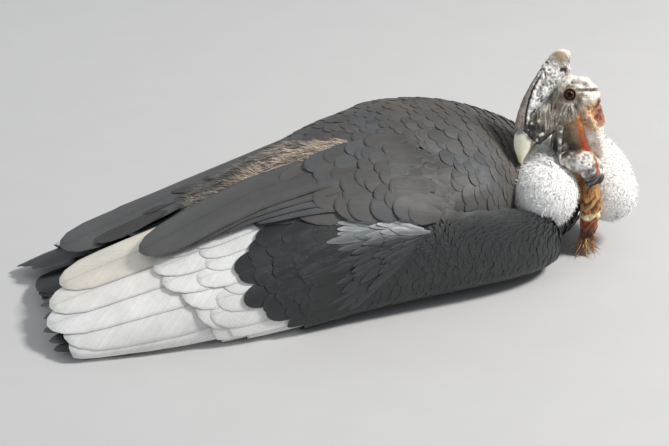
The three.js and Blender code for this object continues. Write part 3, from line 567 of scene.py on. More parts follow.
# Small coverts at the wrist and large ones at the white: length, width, number in a row, rows' distance
COVERT_LENGTH = (26, 64)
COVERT_WIDTH = (15, 34)
COVERT_COUNT = (54, 19)
COVERT_ROW_GAP = (8, 17)
COVERT_REACH = 480  # from the white to the foremost row
COVERT_Q = (0.40, 1.38)
WRIST_X = 244
ARM_TOP = profile(
    (-170, 0.36), (-110, 0.42), (-60, 0.5), (0, 0.62), (40, 0.72), (80, 0.76), (150, 0.78), (232, 0.84),
    (246, 0.93),
)
ROLL_DROP = 15  # how far the arm's upper edge rounds off inwards
FAN_PLACE = (20, 0.795)  # where the ruffled feathers at the elbow spread from, as x and q
FAN_HEADINGS = (0.5, -0.62)
FAN_Q_SCALE = 230  # mm to one unit of q there
FAN_LAYERS = [
    # feathers, distance of the roots from that place, length, width, lift
    (15, 50, 104, 12, 3.0), (16, 40, 92, 11, 3.6), (16, 30, 80, 10, 4.2), (15, 20, 66, 9, 4.8),
    (13, 10, 54, 8, 5.2), (11, 2, 44, 8, 5.6),
]
# The scapulars' band: its upper and lower limits in q, by x
scapular_high = profile((-360, 0.27), (-200, 0.22), (-40, 0.2), (60, 0.3), (110, 0.42))
scapular_low = profile(
    (-351, 0.33), (-337, 0.42), (-300, 0.49), (-189, 0.51), (-111, 0.58), (-19, 0.70), (40, 0.74),
    (110, 0.76),
)
SCAPULAR_Q_SCALE = 260  # mm to one unit of q there
SCAPULAR_LIFTS = (4.6, 1.5)  # of the tips, from the hind rows to the foremost
SCAPULAR_SINK = -14.0  # of the foremost roots, which go in under the back's feathers
SCAPULAR_ROWS = [
    # tips' x, feathers in the row, length, width
    (-200, 3, 142, 57), (-152, 4, 112, 53), (-111, 5, 90, 49), (-77, 6, 74, 45), (-49, 7, 64, 41),
    (-25, 8, 56, 37), (-5, 9, 49, 33), (13, 9, 43, 30), (28, 9, 38, 27), (40, 9, 34, 24),
]
FAR_ROWS = [(-385, 2, 170, 62), (-318, 3, 150, 58), (-262, 3, 130, 56)]
# How the near wing's longest grey feathers bow up towards the back, in q by x
tertial_bend = profile((-351, 0), (-250, -0.05), (-200, -0.075), (-120, -0.07), (-60, -0.04), (40, 0))
TERTIALS = {"count": 4, "root_x": 40, "lifts": (-3, 6.0), "width": 84, "step": 2.0}
TERTIAL_ROOT_Q = {NEAR: (0.42, 0.585), FAR: (0.42, 0.72)}
OVER_TERTIALS = 5.0  # how much higher the near scapulars lie where they cover those feathers
FAR_STEPS = [
    # tips' x, q, lift and shade of the far wing's upper feathers, which stand out one behind the other
    (-372, 0.44, 6.5, 0.5), (-322, 0.40, 7.5, 0.9), (-270, 0.36, 8.0, 0.6), (-215, 0.33, 8.5, 0.95),
    (-158, 0.30, 8.5, 0.8), (-98, 0.27, 8.5, 1.0),
]
STEP_PAIR = ((0.10, 128, 46), (0.0, 112, 50))  # aside in q, length and width of a step's two feathers


def arm_drop(x, q):
    """How far the arm's round upper edge lies inside the wing's outer face."""
    over = np.clip(1 - (q - ARM_TOP(x)) / 0.15, 0, 1.6)
    return ROLL_DROP * over**2 * ramp(x, 20, 85)


def flight_feathers(side, coat_white, coat_black):
    surface = wing_surface(side)
    tips = {**TIERS[side], **UPPER_TIERS}
    first, cream_until = (CREAM, (0.0, 0.3)) if side == NEAR else (BLACK, (0.25, 0.35))

    def pale(share):
        """White, cream on the innermost ones; on the far wing those are black."""
        return mix(first, WHITE, ramp(share, *cream_until)[:, None])

    for name, count, root_x, root_q, *sizes in FLIGHT_TIERS:
        coat = coat_black if name == "primary" else coat_white
        tint = {"primary": BLACK, "secondary": pale}.get(name, WHITE)
        lifts, width, step, jitter, round_from = sizes
        tier(coat, surface, count, root_x, root_q, tips[name], lifts, width, step, tint, jitter, round_from)


def coverts(side, coat):
    """The black small feathers of the arm, from the wrist back to the white, each row shorter."""
    surface = wing_surface(side)
    q_range = COVERT_Q[1] - COVERT_Q[0]
    row_gap = 0
    row = 0
    while row_gap < COVERT_REACH:
        large = ramp(row_gap, 230, 0)
        length = mix(*COVERT_LENGTH, large**1.2)
        width = mix(*COVERT_WIDTH, large)
        count = int(mix(*COVERT_COUNT, large))
        q = np.linspace(*COVERT_Q, count) + (row % 2) * 0.5 * q_range / count
        q = q + vary(count) * 0.25 * q_range / count
        tip = covert_edge(q) + row_gap + vary(count) * mix(2, 11, large)
        root = tip + length
        keep = (root < WRIST_X) & (q > ARM_TOP(root) - mix(0.08, 0.02, large))
        keep &= (q > scapular_low(root) - 0.03) | (root > 20)
        q, root = q[keep], root[keep]
        if len(q):
            heading = 0.08 * vary(len(q)) + mix(0.1, 0.02, large)
            sizes = 1 + 0.12 * vary(len(q))
            base = mix(-1.2, 3.0, ramp(root, -50, -110))
            high = base + mix(1.1, 2.9, large) + random.uniform(0, 0.5, len(q)) - arm_drop(root - length, q)
            form = MIDDLE if length > 30 else SMALL
            grid = lay(surface, root, q, heading, length * sizes, width * sizes, base - arm_drop(root, q),
                       high, form, camber=mix(0.012, 0.03, large), tilt=0.012)
            coat.add(grid, shades(len(q), BLACK, form, 0.14), form, surface.unwrap(root, q))
        row_gap += mix(*COVERT_ROW_GAP, large)
        row += 1


def ruffled_fan(coat):
    """Curled narrow feathers at the near elbow that spread from one place, painted palest towards the back as
    a glossy highlight.
    """
    surface = wing_surface(NEAR)
    for layer, (count, out, length, width, lift) in enumerate(FAN_LAYERS):
        heading = np.linspace(*FAN_HEADINGS, count) + 0.06 * vary(count)
        root = FAN_PLACE[0] - out * np.cos(heading) + 4 * vary(count)
        root_q = FAN_PLACE[1] + out * np.sin(heading) / FAN_Q_SCALE
        sizes = 1 + 0.16 * vary(count)
        high = lift + vary(count)
        swing = mix(heading, 0.1, 0.25)
        grid = lay(surface, root, root_q, swing, length * sizes, width * sizes, 0.6 + 0.9 * layer, high,
                   MIDDLE, camber=0.05, tilt=0.07, curve=2.2)
        # Painted highlight: pale glossy grey on those that turn towards the back, black on the rest
        pale = mix(RUFFLED_SHEEN * 1.9, BLACK * 1.4, ramp(heading, -0.5, 0.0)[:, None])
        pale = pale * (1 + 0.35 * vary(count, 1))
        coat.add(grid, shades(count, pale, MIDDLE, 0.15, shaft=1.1), MIDDLE, surface.unwrap(root, root_q))


def far_steps(coat):
    surface = wing_surface(FAR)
    for tip, q, lift, shade in FAR_STEPS:
        for aside, length, width in STEP_PAIR:
            root = tip + length + 8 * vary(1)
            root_q = np.array([q + aside - 0.05])
            high = lift - 12 * aside
            grid = lay(surface, root, root_q, 0.12, length, width, 0.5, high, LARGE, camber=0.035)
            tint = mix(SLATE, SLATE_BROWN, random.uniform(0.2, 1)) * shade
            coat.add(grid, shades(1, tint, LARGE, 0.08), LARGE, surface.unwrap(root, root_q))


def slate(share):
    """Greys between slate and brown, one for each share."""
    return mix(SLATE, SLATE_BROWN, random.uniform(0.1, 0.7, (len(share), 1)))


def scapulars(side, coat):
    """The wing's longest grey feathers, and over their roots the rows that reach up to the back."""
    surface = wing_surface(side)
    far = side == FAR
    bow = {} if far else {"bend": tertial_bend, "inner_lift": 2.6}
    tier(coat, surface, root_q=TERTIAL_ROOT_Q[side], tips=TIERS[side]["tertial"], tint=slate, jitter=4,
         round_from=0.84, warm=0.05, **TERTIALS, **bow)
    for tip, count, length, width in (FAR_ROWS if far else []) + SCAPULAR_ROWS:
        high, low = scapular_high(tip), scapular_low(tip)
        half = width / 2 / scales(surface, np.array([tip]), np.array([0.5]))[1][0]
        gap = (low - high - 1.4 * half) / count
        q = np.linspace(high + half * 0.7, low - half * 0.7, count) + 0.3 * gap * vary(count)
        tips = tip - 6 * np.sin(np.linspace(0, math.pi, count)) + 9 * vary(count)
        heading = mix(-0.08, -0.28, np.linspace(0, 1, count)) + 0.06 * vary(count)
        sizes = 1 + 0.08 * vary(count)
        root = tips + length * np.cos(heading)
        root_q = q - length * np.sin(heading) / SCAPULAR_Q_SCALE
        raised = 0 if far else OVER_TERTIALS * ramp(tips, -175, -140) * ramp(tips, 40, -30)
        low_lift = mix(0.5 + 0.9 * raised, SCAPULAR_SINK, ramp(root, 40, 80))
        high_lift = mix(*SCAPULAR_LIFTS, ramp(tips, 0, 45)) + raised + 0.5 * random.uniform(0, 1, count)
        grid = lay(surface, root, root_q, heading, length * sizes, width * sizes, low_lift, high_lift, MIDDLE,
                   camber=0.035, tilt=-0.02)
        darker = mix(1.0, 0.5, ramp(tip, -190, -260)) if far else 1.0
        tint = shades(count, slate(q) * darker, MIDDLE, 0.1, warm=0.06)
        coat.add(grid, tint, MIDDLE, surface.unwrap(root, q))


# Back, breast and rump

MANTLE_ROWS = np.arange(296, -300, -11.5)
# The back's feathers behind the collar and towards the wings: length, width and distance
MANTLE_LENGTH = (21, 54)
MANTLE_WIDTH = (15, 36)
MANTLE_GAP = (11, 23)
mantle_limit = profile((-305, 150), (-200, 120), (-60, 95), (150, 96), (235, 130), (300, 180))
FLUFF_COUNT = 19000
FLUFF_UNDER = 0.36  # share of the tufts that lie under the near wing's inner edge
FLUFF_X = (-238, -34)
FLUFF_UNDER_X = (-238, -48)
FLUFF_LENGTH = (14, 34)
FLUFF_LIFT = (7, 14)
FLUFF_WIDTH = 1.5
fluff_low = profile((-235, -42), (-185, -32), (-113, -22), (-43, -22))
fluff_high = profile((-207, 24), (-157, 20), (-99, 13), (-45, -6))


def mantle(coat):
    """Rounded grey feathers of the back, small behind the collar and larger towards the wings."""
    gaps = [mix(*MANTLE_GAP, ramp(x, 265, 70)) for x in MANTLE_ROWS]
    a, b = rows_on(coat_point, MANTLE_ROWS, lambda x: -mantle_limit(x), mantle_limit, gaps)
    near = ramp(a, 275, 80)
    length = mix(*MANTLE_LENGTH, near) * (1 + 0.12 * vary(len(a)))
    width = mix(*MANTLE_WIDTH, near) * (1 + 0.1 * vary(len(a)))
    heading = 0.1 * vary(len(a)) + 0.0028 * b * ramp(a, -60, 220)
    high = mix(0.8, 1.8, near * ramp(a, 240, 120)) + random.uniform(0, 0.5, len(a))
    spots = noise(body_point(a, b), 55, 3)
    tint = blend(SLATE, SLATE_BROWN, 0.5 + spots)
    tint = blend(tint, SLATE_BROWN * 0.9, 0.8 * ramp(a, 130, 250) * ramp(np.abs(b), 90, 40))
    tint = blend(tint, BLACK, ramp(np.abs(b), 75, 110) * ramp(a, 160, 230))
    tint = blend(tint, BLACK * 1.1, ramp(a, -120, -200))
    for form, chosen in ((MIDDLE, length > 30), (SMALL, length <= 30)):
        grid = lay(coat_point, a[chosen], b[chosen], heading[chosen], length[chosen], width[chosen], -1.2,
                   high[chosen], form, camber=0.03)
        tints = shades(chosen.sum(), tint[chosen], form, 0.16, warm=0.08)
        coat.add(grid, tints, form, coat_point.unwrap(a[chosen], b[chosen]))


def fluff(coat):
    """Pale brown down that shows between the wings, over the rump, in thin curled tufts. Its tone varies at
    random, with painted highlight towards its lower limit and the front and painted shade under the near
    wing.
    """
    count = FLUFF_COUNT
    along = STRAND[0]
    under = random.uniform(0, 1, count) < FLUFF_UNDER
    a = np.where(under, random.uniform(*FLUFF_UNDER_X, count), random.uniform(*FLUFF_X, count))
    share = np.where(under, random.uniform(-0.9, 0.05, count), random.beta(1.3, 1.3, count))
    b = mix(fluff_low(a), fluff_high(a), share)
    share = np.maximum(share, 0)
    length = random.uniform(*FLUFF_LENGTH, count)
    place = body_point(a, b)
    swirl = np.stack([noise(place, 16, 21), noise(place, 16, 22), 0.5 * noise(place, 16, 23)], -1)
    curl = 0.4 * swirl + random.normal(0, 0.13, (count, 3)) + np.array([0, 0, -0.1])
    heading = 0.15 + 0.9 * noise(place, 22, 24) + random.normal(0, 0.2, count)
    high = random.uniform(*FLUFF_LIFT, count)
    grid = lay(body_point, a, b, heading, length, FLUFF_WIDTH, 1.5, high, STRAND, camber=0, curve=1.2)
    sway = curl[:, None, None, :] * (along[None, :, None]**2)[..., None] * length[:, None, None, None]
    # Random tone, plus painted highlight towards fluff_low and towards the front
    fluff_light_and_tone = ramp(noise(place, 24, 5) + 1.1 * (0.6 - share) + 0.8 * ramp(a, -170, -90), -0.2, 1.0)
    # Painted shade: tufts that lie under the near wing's inner edge are darker
    fluff_light_and_tone = fluff_light_and_tone * np.where(under, 0.35, 1)
    base = blend(DOWN_BROWN * 0.22, DOWN_BROWN, fluff_light_and_tone) * (1 + 0.2 * vary(count, 1))
    fade = mix(0.55, 1.12, along)[None, :, None, None]
    coat.add(grid + sway, base[:, None, None, :] * fade, STRAND, body_point.unwrap(a, b))


# Tail

TAIL_COUNT = 12
TAIL_ROOT_X = -268
TAIL_LENGTH = 210
TAIL_WIDTH = 60
TAIL_SPREAD = 13  # degrees from the middle to the outermost feather
TAIL_ROOT_SPREAD = 15
TAIL_STEP = 1.5  # each feather lies this much under the next one inward
TAIL_DROOP = 0.0011
tail_level = profile((-490, 10), (-440, 15), (-380, 25), (-320, 41), (-268, 56))


def tail(coat):
    along, across = LARGE
    for index in range(TAIL_COUNT):
        share = 2 * index / (TAIL_COUNT - 1) - 1
        turn = math.radians(TAIL_SPREAD * share)
        rank = TAIL_COUNT / 2 - abs(index - (TAIL_COUNT - 1) / 2)
        above = TAIL_STEP * rank + (0.7 if share > 0 else 0)
        reach = TAIL_LENGTH * (1 - 0.06 * share**2) * along[:, None]
        aside = TAIL_WIDTH / 2 * across[None, :] * outline(along)[:, None]
        x = TAIL_ROOT_X - reach * math.cos(turn) + aside * math.sin(turn)
        y = share * TAIL_ROOT_SPREAD + reach * math.sin(turn) + aside * math.cos(turn)
        z = tail_level(x) - TAIL_DROOP * y**2 + above
        grid = np.stack([x, y, z], -1)[None]
        place = np.array([[0.2 + 0.05 * index, 0.5]])
        coat.add(grid, shades(1, BLACK, LARGE, 0.1, 0.8, 1.3), LARGE, place)


# Collar of white down

RUFF_PATH = [
    (225, -114, 107), (230, -76, 118), (250, -28, 124), (290, -4, 122), (330, -12, 110), (346, -48, 94),
    (343, -84, 76),
]
ruff_thickness = profile((0, 51), (0.4, 40), (1, 42))
RUFF_STEPS = 60
RUFF_CURVE = spline(RUFF_PATH, RUFF_STEPS)
RUFF_TANGENTS = unit(np.gradient(RUFF_CURVE, axis=0))
RUFF_COUNT = 32500
RUFF_UPRIGHT = 0.3  # share of the tufts that stand out as the collar's fuzzy rim
RUFF_CORE = 0.92  # the closed form under the tufts, as a share of the thickness
RUFF_ENDS = 0.98  # how far over its round ends the tufts reach, as a share of the thickness
# Of tufts that stand out and tufts that lie back: half width, travel to the side, and the ranges of
# their roots' and tips' distance, all but the first as shares of the thickness
TUFT_HALF = (0.5, 2.1)
TUFT_TRAVEL = (0.06, 0.3)
TUFT_ROOTS = ((0.7, 0.86), (0.89, 0.95))
TUFT_TIPS = ((0.98, 1.07), (0.95, 0.98))
TUFT_ROWS = np.array([0, 0.4, 0.75, 1.0])
TUFT_WIDTHS = np.array([1.0, 1.0, 0.6, 0.08])
RUFF_TINT = colour(0.9, 0.895, 0.88)


def ruff_place(share):
    """Middle, tangent, outward and upward directions of the collar at shares of its length."""
    at = np.clip(share, 0, 1) * RUFF_STEPS
    middle, tangent = (
        np.stack([np.interp(at, np.arange(RUFF_STEPS + 1), curve[:, k]) for k in range(3)], -1)
        for curve in (RUFF_CURVE, RUFF_TANGENTS)
    )
    tangent = unit(tangent)
    up = unit(np.array([0, 0, 1.0]) - tangent * tangent[:, 2:3])
    return middle, tangent, np.cross(up, tangent), up


def ruff(coat):
    """Down that stands out all round the collar, with round puffs at its two ends."""
    count = RUFF_COUNT
    start, end = ruff_thickness(0), ruff_thickness(1)
    length = np.linalg.norm(np.diff(RUFF_CURVE, axis=0), axis=1).sum()
    place = random.uniform(-start * RUFF_ENDS, length + end * RUFF_ENDS, count)
    share = np.clip(place / length, 0, 1)
    beyond = np.where(place < 0, place, np.maximum(place - length, 0))
    thick = ruff_thickness(share)[:, None]
    middle, tangent, out, up = ruff_place(share)
    lean = np.clip(beyond / thick[:, 0], -RUFF_ENDS, RUFF_ENDS)[:, None]
    turn = random.uniform(0, 2 * math.pi, count)[:, None]
    radial = np.sqrt(1 - lean**2) * (np.cos(turn) * out + np.sin(turn) * up) + lean * tangent

    # Most tufts lie back over the ball and show their flat sides; the rest stand out
    upright = (random.uniform(0, 1, count) < RUFF_UPRIGHT)[:, None]
    drift = np.array([-0.25, 0, -0.8]) + random.normal(0, 0.45, (count, 3))
    sideways = unit(drift - radial * (drift * radial).sum(1, keepdims=True))
    travel = np.where(upright, *TUFT_TRAVEL) * thick * random.uniform(0.7, 1.3, (count, 1))
    low, high = (
        np.where(upright, random.uniform(*stands, (count, 1)), random.uniform(*lies, (count, 1)))
        for stands, lies in (TUFT_ROOTS, TUFT_TIPS)
    )
    root = middle + radial * thick * low
    tip = middle + unit(radial * thick * high + sideways * travel) * thick * high
    side = unit(np.cross(radial, sideways))
    along = TUFT_ROWS
    half = np.where(upright, *TUFT_HALF)[:, :, None] * TUFT_WIDTHS[None, :, None]
    bow = radial * (0.05 * thick) + side * random.normal(0, 1.2, (count, 1))
    line = mix(root[:, None], tip[:, None], along[None, :, None])
    line = line + bow[:, None] * (along * (1 - along) * 2)[None, :, None]
    grid = np.stack([line - side[:, None] * half, line + side[:, None] * half], 2)
    tint = RUFF_TINT * (1 + 0.06 * vary(count, 1))
    fade = mix(0.96, 1.0, along)[None, :, None, None]
    reach = start + end
    where = np.stack([(place + reach) / (length + 2 * reach), turn[:, 0] / (2 * math.pi)], -1)
    coat.add(grid, tint[:, None, None, :] * fade, (along, STRAND[1]), where)


def ruff_core():
    """The closed form under the collar's tufts: a tube with a ball at each end."""
    points, faces = tube_rings(RUFF_PATH, lambda at: RUFF_CORE * ruff_thickness(at), 30, 24)
    for end in (0, 1):
        turn_a, turn_b = np.meshgrid(np.linspace(0, 2 * math.pi, 25)[:-1], np.linspace(0, math.pi, 13))
        wide = np.sin(turn_b)
        ball = np.stack([np.cos(turn_a) * wide, np.sin(turn_a) * wide, np.cos(turn_b)], -1)
        ball = np.array(RUFF_PATH[-end]) + RUFF_CORE * ruff_thickness(end) * ball
        more, more_faces = close_rings(list(ball[1:-1]))
        faces = np.concatenate([faces, more_faces + len(points)])
        points = np.concatenate([points, more])
    return points, faces


# Materials

class Finish:
    """A material whose colour is the point colour Tint, varied by noise, with bump."""

    def __init__(self, name, roughness=0.6, **sockets):
        self.material = bpy.data.materials.new(name)
        self.material.use_nodes = True
        self.tree = self.material.node_tree
        self.shader = self.tree.nodes["Principled BSDF"]
        self.shader.inputs["Roughness"].default_value = roughness
        for socket, value in sockets.items():
            self.shader.inputs[socket.replace("_", " ")].default_value = value
        self.tint = self.node("ShaderNodeVertexColor", layer_name="Tint").outputs["Color"]
        self.place = self.node("ShaderNodeTexCoord").outputs["Object"]

    def node(self, kind, inputs=None, **settings):
        made = self.tree.nodes.new(kind)
        for key, value in settings.items():
            setattr(made, key, value)
        for key, value in (inputs or {}).items():
            if isinstance(value, bpy.types.NodeSocket):
                self.tree.links.new(value, made.inputs[key])
            else:
                made.inputs[key].default_value = value
        return made

    def math(self, operation, a, b=0.0, c=0.0):
        return self.node("ShaderNodeMath", {0: a, 1: b, 2: c}, operation=operation).outputs[0]

    def product(self, first, *others):
        for other in others:
            first = self.math("MULTIPLY", first, other)
        return first

    def step_up(self, value, low, high):
        """0 where value is at low and 1 at high, smooth between."""
        return self.node("ShaderNodeMapRange", {"Value": value, "From Min": low, "From Max": high},
                         interpolation_type="SMOOTHSTEP").outputs["Result"]

    def noise(self, scale, detail=4, roughness=0.55, place=None, distortion=0.0):
        made = self.node("ShaderNodeTexNoise", {
            "Vector": place or self.place, "Scale": scale, "Detail": detail, "Roughness": roughness,
            "Distortion": distortion,
        })
        return made.outputs["Fac"]

    def spread(self, value, low, high):
        """Maps a value of 0 to 1 to another range."""
        made = self.node("ShaderNodeMapRange", {"Value": value, "To Min": low, "To Max": high})
        return made.outputs["Result"]

    def parts(self, uv_map):
        """The X and Y of a UV map."""
        place = self.node("ShaderNodeUVMap", uv_map=uv_map).outputs[0]
        parts = self.node("ShaderNodeSeparateXYZ", {0: place}).outputs
        return parts["X"], parts["Y"]

    def bump(self, height, strength, distance, under=None):
        inputs = {"Height": height, "Strength": strength, "Distance": distance}
        if under:
            inputs["Normal"] = under
        return self.node("ShaderNodeBump", inputs).outputs["Normal"]

    def set(self, socket, value):
        self.tree.links.new(value, self.shader.inputs[socket])

    def colour_by(self, shade):
        """Makes the colour the point colour times a number that changes over the surface."""
        grey = self.node("ShaderNodeCombineColor", {"Red": shade, "Green": shade, "Blue": shade})
        self.set("Base Color", self.node(
            "ShaderNodeMix", {"Factor": 1.0, 6: self.tint, 7: grey.outputs[0]}, data_type="RGBA",
            blend_type="MULTIPLY").outputs[2])


def feather_finish(name, roughness, rim, band, **sockets):
    """Barbs that slant away from a shaft, a rim lighter or darker by rim with a band inside it, and patches;
    a darker rim is painted shadow in the gaps between feathers.
    """
    finish = Finish(name, roughness, **sockets)
    across, along = finish.parts("Vane")
    beside, reach = finish.parts("Barb")
    across = finish.math("ABSOLUTE", finish.math("SUBTRACT", across, 0.5))
    wobble = finish.noise(55, 3)
    slant = finish.math("SUBTRACT", reach, finish.product(beside, 1.1))
    slant = finish.math("ADD", slant, finish.product(wobble, 0.5))
    barbs = finish.math("SINE", finish.product(slant, 26.0))
    split_place = finish.node("ShaderNodeCombineXYZ", {"X": finish.product(slant, 3.0), "Y": wobble})
    split = finish.noise(1.0, 3, place=split_place.outputs[0])

    # How near the rim: from the sides and from the tip
    edge, inner = (
        finish.math("MAXIMUM", finish.step_up(across, *side), finish.step_up(along, *tip))
        for side, tip in (((0.43, 0.49), (0.965, 0.995)), ((0.22, 0.40), (0.84, 0.95)))
    )
    shaft = finish.step_up(across, 0.028, 0.012)
    patches = finish.spread(finish.noise(24, 5, 0.6), 0.78, 1.22)
    fine = finish.spread(finish.noise(420, 3, 0.6), 0.9, 1.1)
    shade = finish.product(patches, fine, finish.spread(split, 0.84, 1.14))
    # A negative rim darkens the outline as painted shadow; the black vanes' positive rim lightens it
    for value, amount in ((barbs, 0.025), (inner, band), (edge, rim), (shaft, -0.12)):
        shade = finish.product(shade, finish.math("MULTIPLY_ADD", value, amount, 1.0))
    finish.colour_by(shade)
    height = finish.math("ADD", finish.product(barbs, 0.25), finish.math("ADD", split, shaft))
    finish.set("Normal", finish.bump(height, 0.45, 0.0005))
    finish.set("Roughness", finish.spread(finish.noise(40, 3), roughness - 0.1, roughness + 0.1))
    return finish.material


def down_finish(name, roughness):
    finish = Finish(name, roughness, Sheen_Weight=0.5, Sheen_Roughness=0.5)
    finish.colour_by(finish.product(
        finish.spread(finish.noise(30, 3), 0.9, 1.06), finish.spread(finish.noise(700, 2), 0.92, 1.05)))
    finish.set("Normal", finish.bump(finish.noise(900, 2), 0.4, 0.0006))
    return finish.material


def skin_finish(name, roughness):
    """Bare skin with pores, creases and warts too fine for the mesh; the creases' noise both bumps the skin
    and colours it, mottled and also painted shade in the hollows and painted highlight on the crests.
    """
    finish = Finish(name, roughness, Subsurface_Weight=0.12, Subsurface_Scale=0.004,
                    Subsurface_Radius=(1.0, 0.35, 0.2))
    creases = finish.noise(260, 6, 0.65, distortion=0.6)
    pores = finish.node("ShaderNodeTexVoronoi", {"Vector": finish.place, "Scale": 620.0}).outputs["Distance"]
    # Mottle, plus painted shade and highlight from the same noise that makes the crease bump
    finish.colour_by(finish.product(finish.spread(creases, 0.5, 1.5), finish.spread(pores, 0.86, 1.14)))
    fine = finish.bump(pores, 0.35, 0.0007)
    finish.set("Normal", finish.bump(creases, 0.7, 0.0016, fine))
    finish.set("Roughness", finish.spread(finish.noise(120, 4), roughness - 0.16, roughness + 0.14))
    return finish.material


def horn_finish(name, roughness, **sockets):
    finish = Finish(name, roughness, **sockets)
    stretched = finish.node("ShaderNodeMapping", {"Vector": finish.place, "Scale": (1.0, 4.0, 1.0)})
    streaks = finish.noise(90, 5, 0.6, place=stretched.outputs[0])
    finish.colour_by(finish.product(
        finish.spread(streaks, 0.84, 1.14), finish.spread(finish.noise(500, 3), 0.93, 1.05)))
    finish.set("Normal", finish.bump(streaks, 0.35, 0.0008))
    finish.set("Roughness", finish.spread(finish.noise(70, 3), roughness - 0.08, roughness + 0.12))
    return finish.material


def eye_finish():
    finish = Finish("eye", 0.16, Coat_Weight=0.25, Coat_Roughness=0.03, Specular_IOR_Level=0.15)
    finish.colour_by(finish.spread(finish.noise(900, 3), 0.8, 1.2))
    return finish.material


# Head, in a frame of its own: x to the bill, y to the bird's left, z to the crown, between the eyes

HEAD_PLACE = np.array([269.0, -91.0, 240.0])
HEAD_FORWARD = unit(np.array([-0.738, -0.079, -0.671]))
HEAD_LEFT = unit(np.cross((-0.601, 0.529, 0.599), HEAD_FORWARD))
HEAD_AXES = np.stack([HEAD_FORWARD, HEAD_LEFT, np.cross(HEAD_FORWARD, HEAD_LEFT)])
HEAD_NODES = ["head", "comb", "neck_upper", "neck_lower", "crop", "throat_roll", "wattle_throat"]
HEAD_VOXEL = 1.25
HEAD_SMOOTHING = 6

CURVE_STEPS = 40
NECK_CURVE = spline([(262, -48, 68), (281, -60, 98), (290, -78, 138), (287, -91, 184), (299, -103, 229)], 60)
RIDGE_CURVE = spline([
    (271, -118, 226), (273, -119, 217), (275, -122, 207), (278, -125, 192), (284, -124, 175),
    (289, -127, 165), (291, -136, 160), (293, -142, 150), (294, -144, 141),
], CURVE_STEPS)
KNOB_PLACE = np.array([292, -134, 124.0])
CROP_CURVE = spline(
    [(293, -108, 126), (298, -118, 92), (299, -116, 58), (298, -113, 34), (296, -108, 12)], CURVE_STEPS)
CROP_X, CROP_Y = 297, -112
ROLL_CURVE = spline([(250, -114, 157), (268, -126, 157), (287, -129, 146), (301, -123, 122)], CURVE_STEPS)
LAPPET_CURVE = spline([(38, 9, -18), (51, 12, -29), (64, 12, -40), (76, 10, -51)], 20)
comb_edge = profile((-20, 58), (10, 55), (43, 44), (75, 23))  # the comb's free edge
comb_base = profile((-47, 38), (-42, 33), (-34, 27), (-26, 19), (-18, 17), (0, 17), (70, 17), (87, 20.5))
EYE_RADIUS = 9.5
EYE_SIDE = 18.5
LID_OUT = 5  # how far the lids' middle lies outside the eye's
CROWN_RISE = 5.5
RIDGE_RISE = 2.6


def to_head(points):
    return (points - HEAD_PLACE) @ HEAD_AXES.T


def from_head(points):
    return HEAD_PLACE + np.asarray(points, float) @ HEAD_AXES


def nearest(points, curve):
    """Distance to a curve's points and the share of the way along it."""
    far = np.linalg.norm(points[:, None, :] - curve[None], axis=-1)
    return far.min(1), far.argmin(1) / (len(curve) - 1)


def values_of(items, key, width=1, kind=float):
    """One value or vector of each vertex, loop or triangle of a mesh."""
    values = np.empty(len(items) * width, kind)
    items.foreach_get(key, values)
    return values.reshape(-1, width)


def fused(names, voxel, smoothing):
    """The named solids as one surface of small even faces: points in mm, faces and normals."""
    points, faces, start = [], [], 0
    for name in names:
        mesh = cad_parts[name].data
        mesh.calc_loop_triangles()
        points.append(values_of(mesh.vertices, "co", 3) / MM)
        faces.append(values_of(mesh.loop_triangles, "vertices", 3, np.int32) + start)
        start += len(mesh.vertices)
    mesh = mesh_of("fused", np.concatenate(points), np.concatenate(faces))
    piece = place_in_scene("fused", mesh)
    remesh = piece.modifiers.new("remesh", "REMESH")
    remesh.mode = "VOXEL"
    remesh.voxel_size = voxel * MM
    smooth = piece.modifiers.new("smooth", "SMOOTH")
    smooth.factor = 0.5
    smooth.iterations = smoothing
    made = bpy.data.meshes.new_from_object(piece.evaluated_get(bpy.context.evaluated_depsgraph_get()))
    bpy.data.objects.remove(piece)
    quads = values_of(made.loops, "vertex_index", 1, np.int32).reshape(-1, 4)
    return values_of(made.vertices, "co", 3) / MM, quads, values_of(made.vertices, "normal", 3)


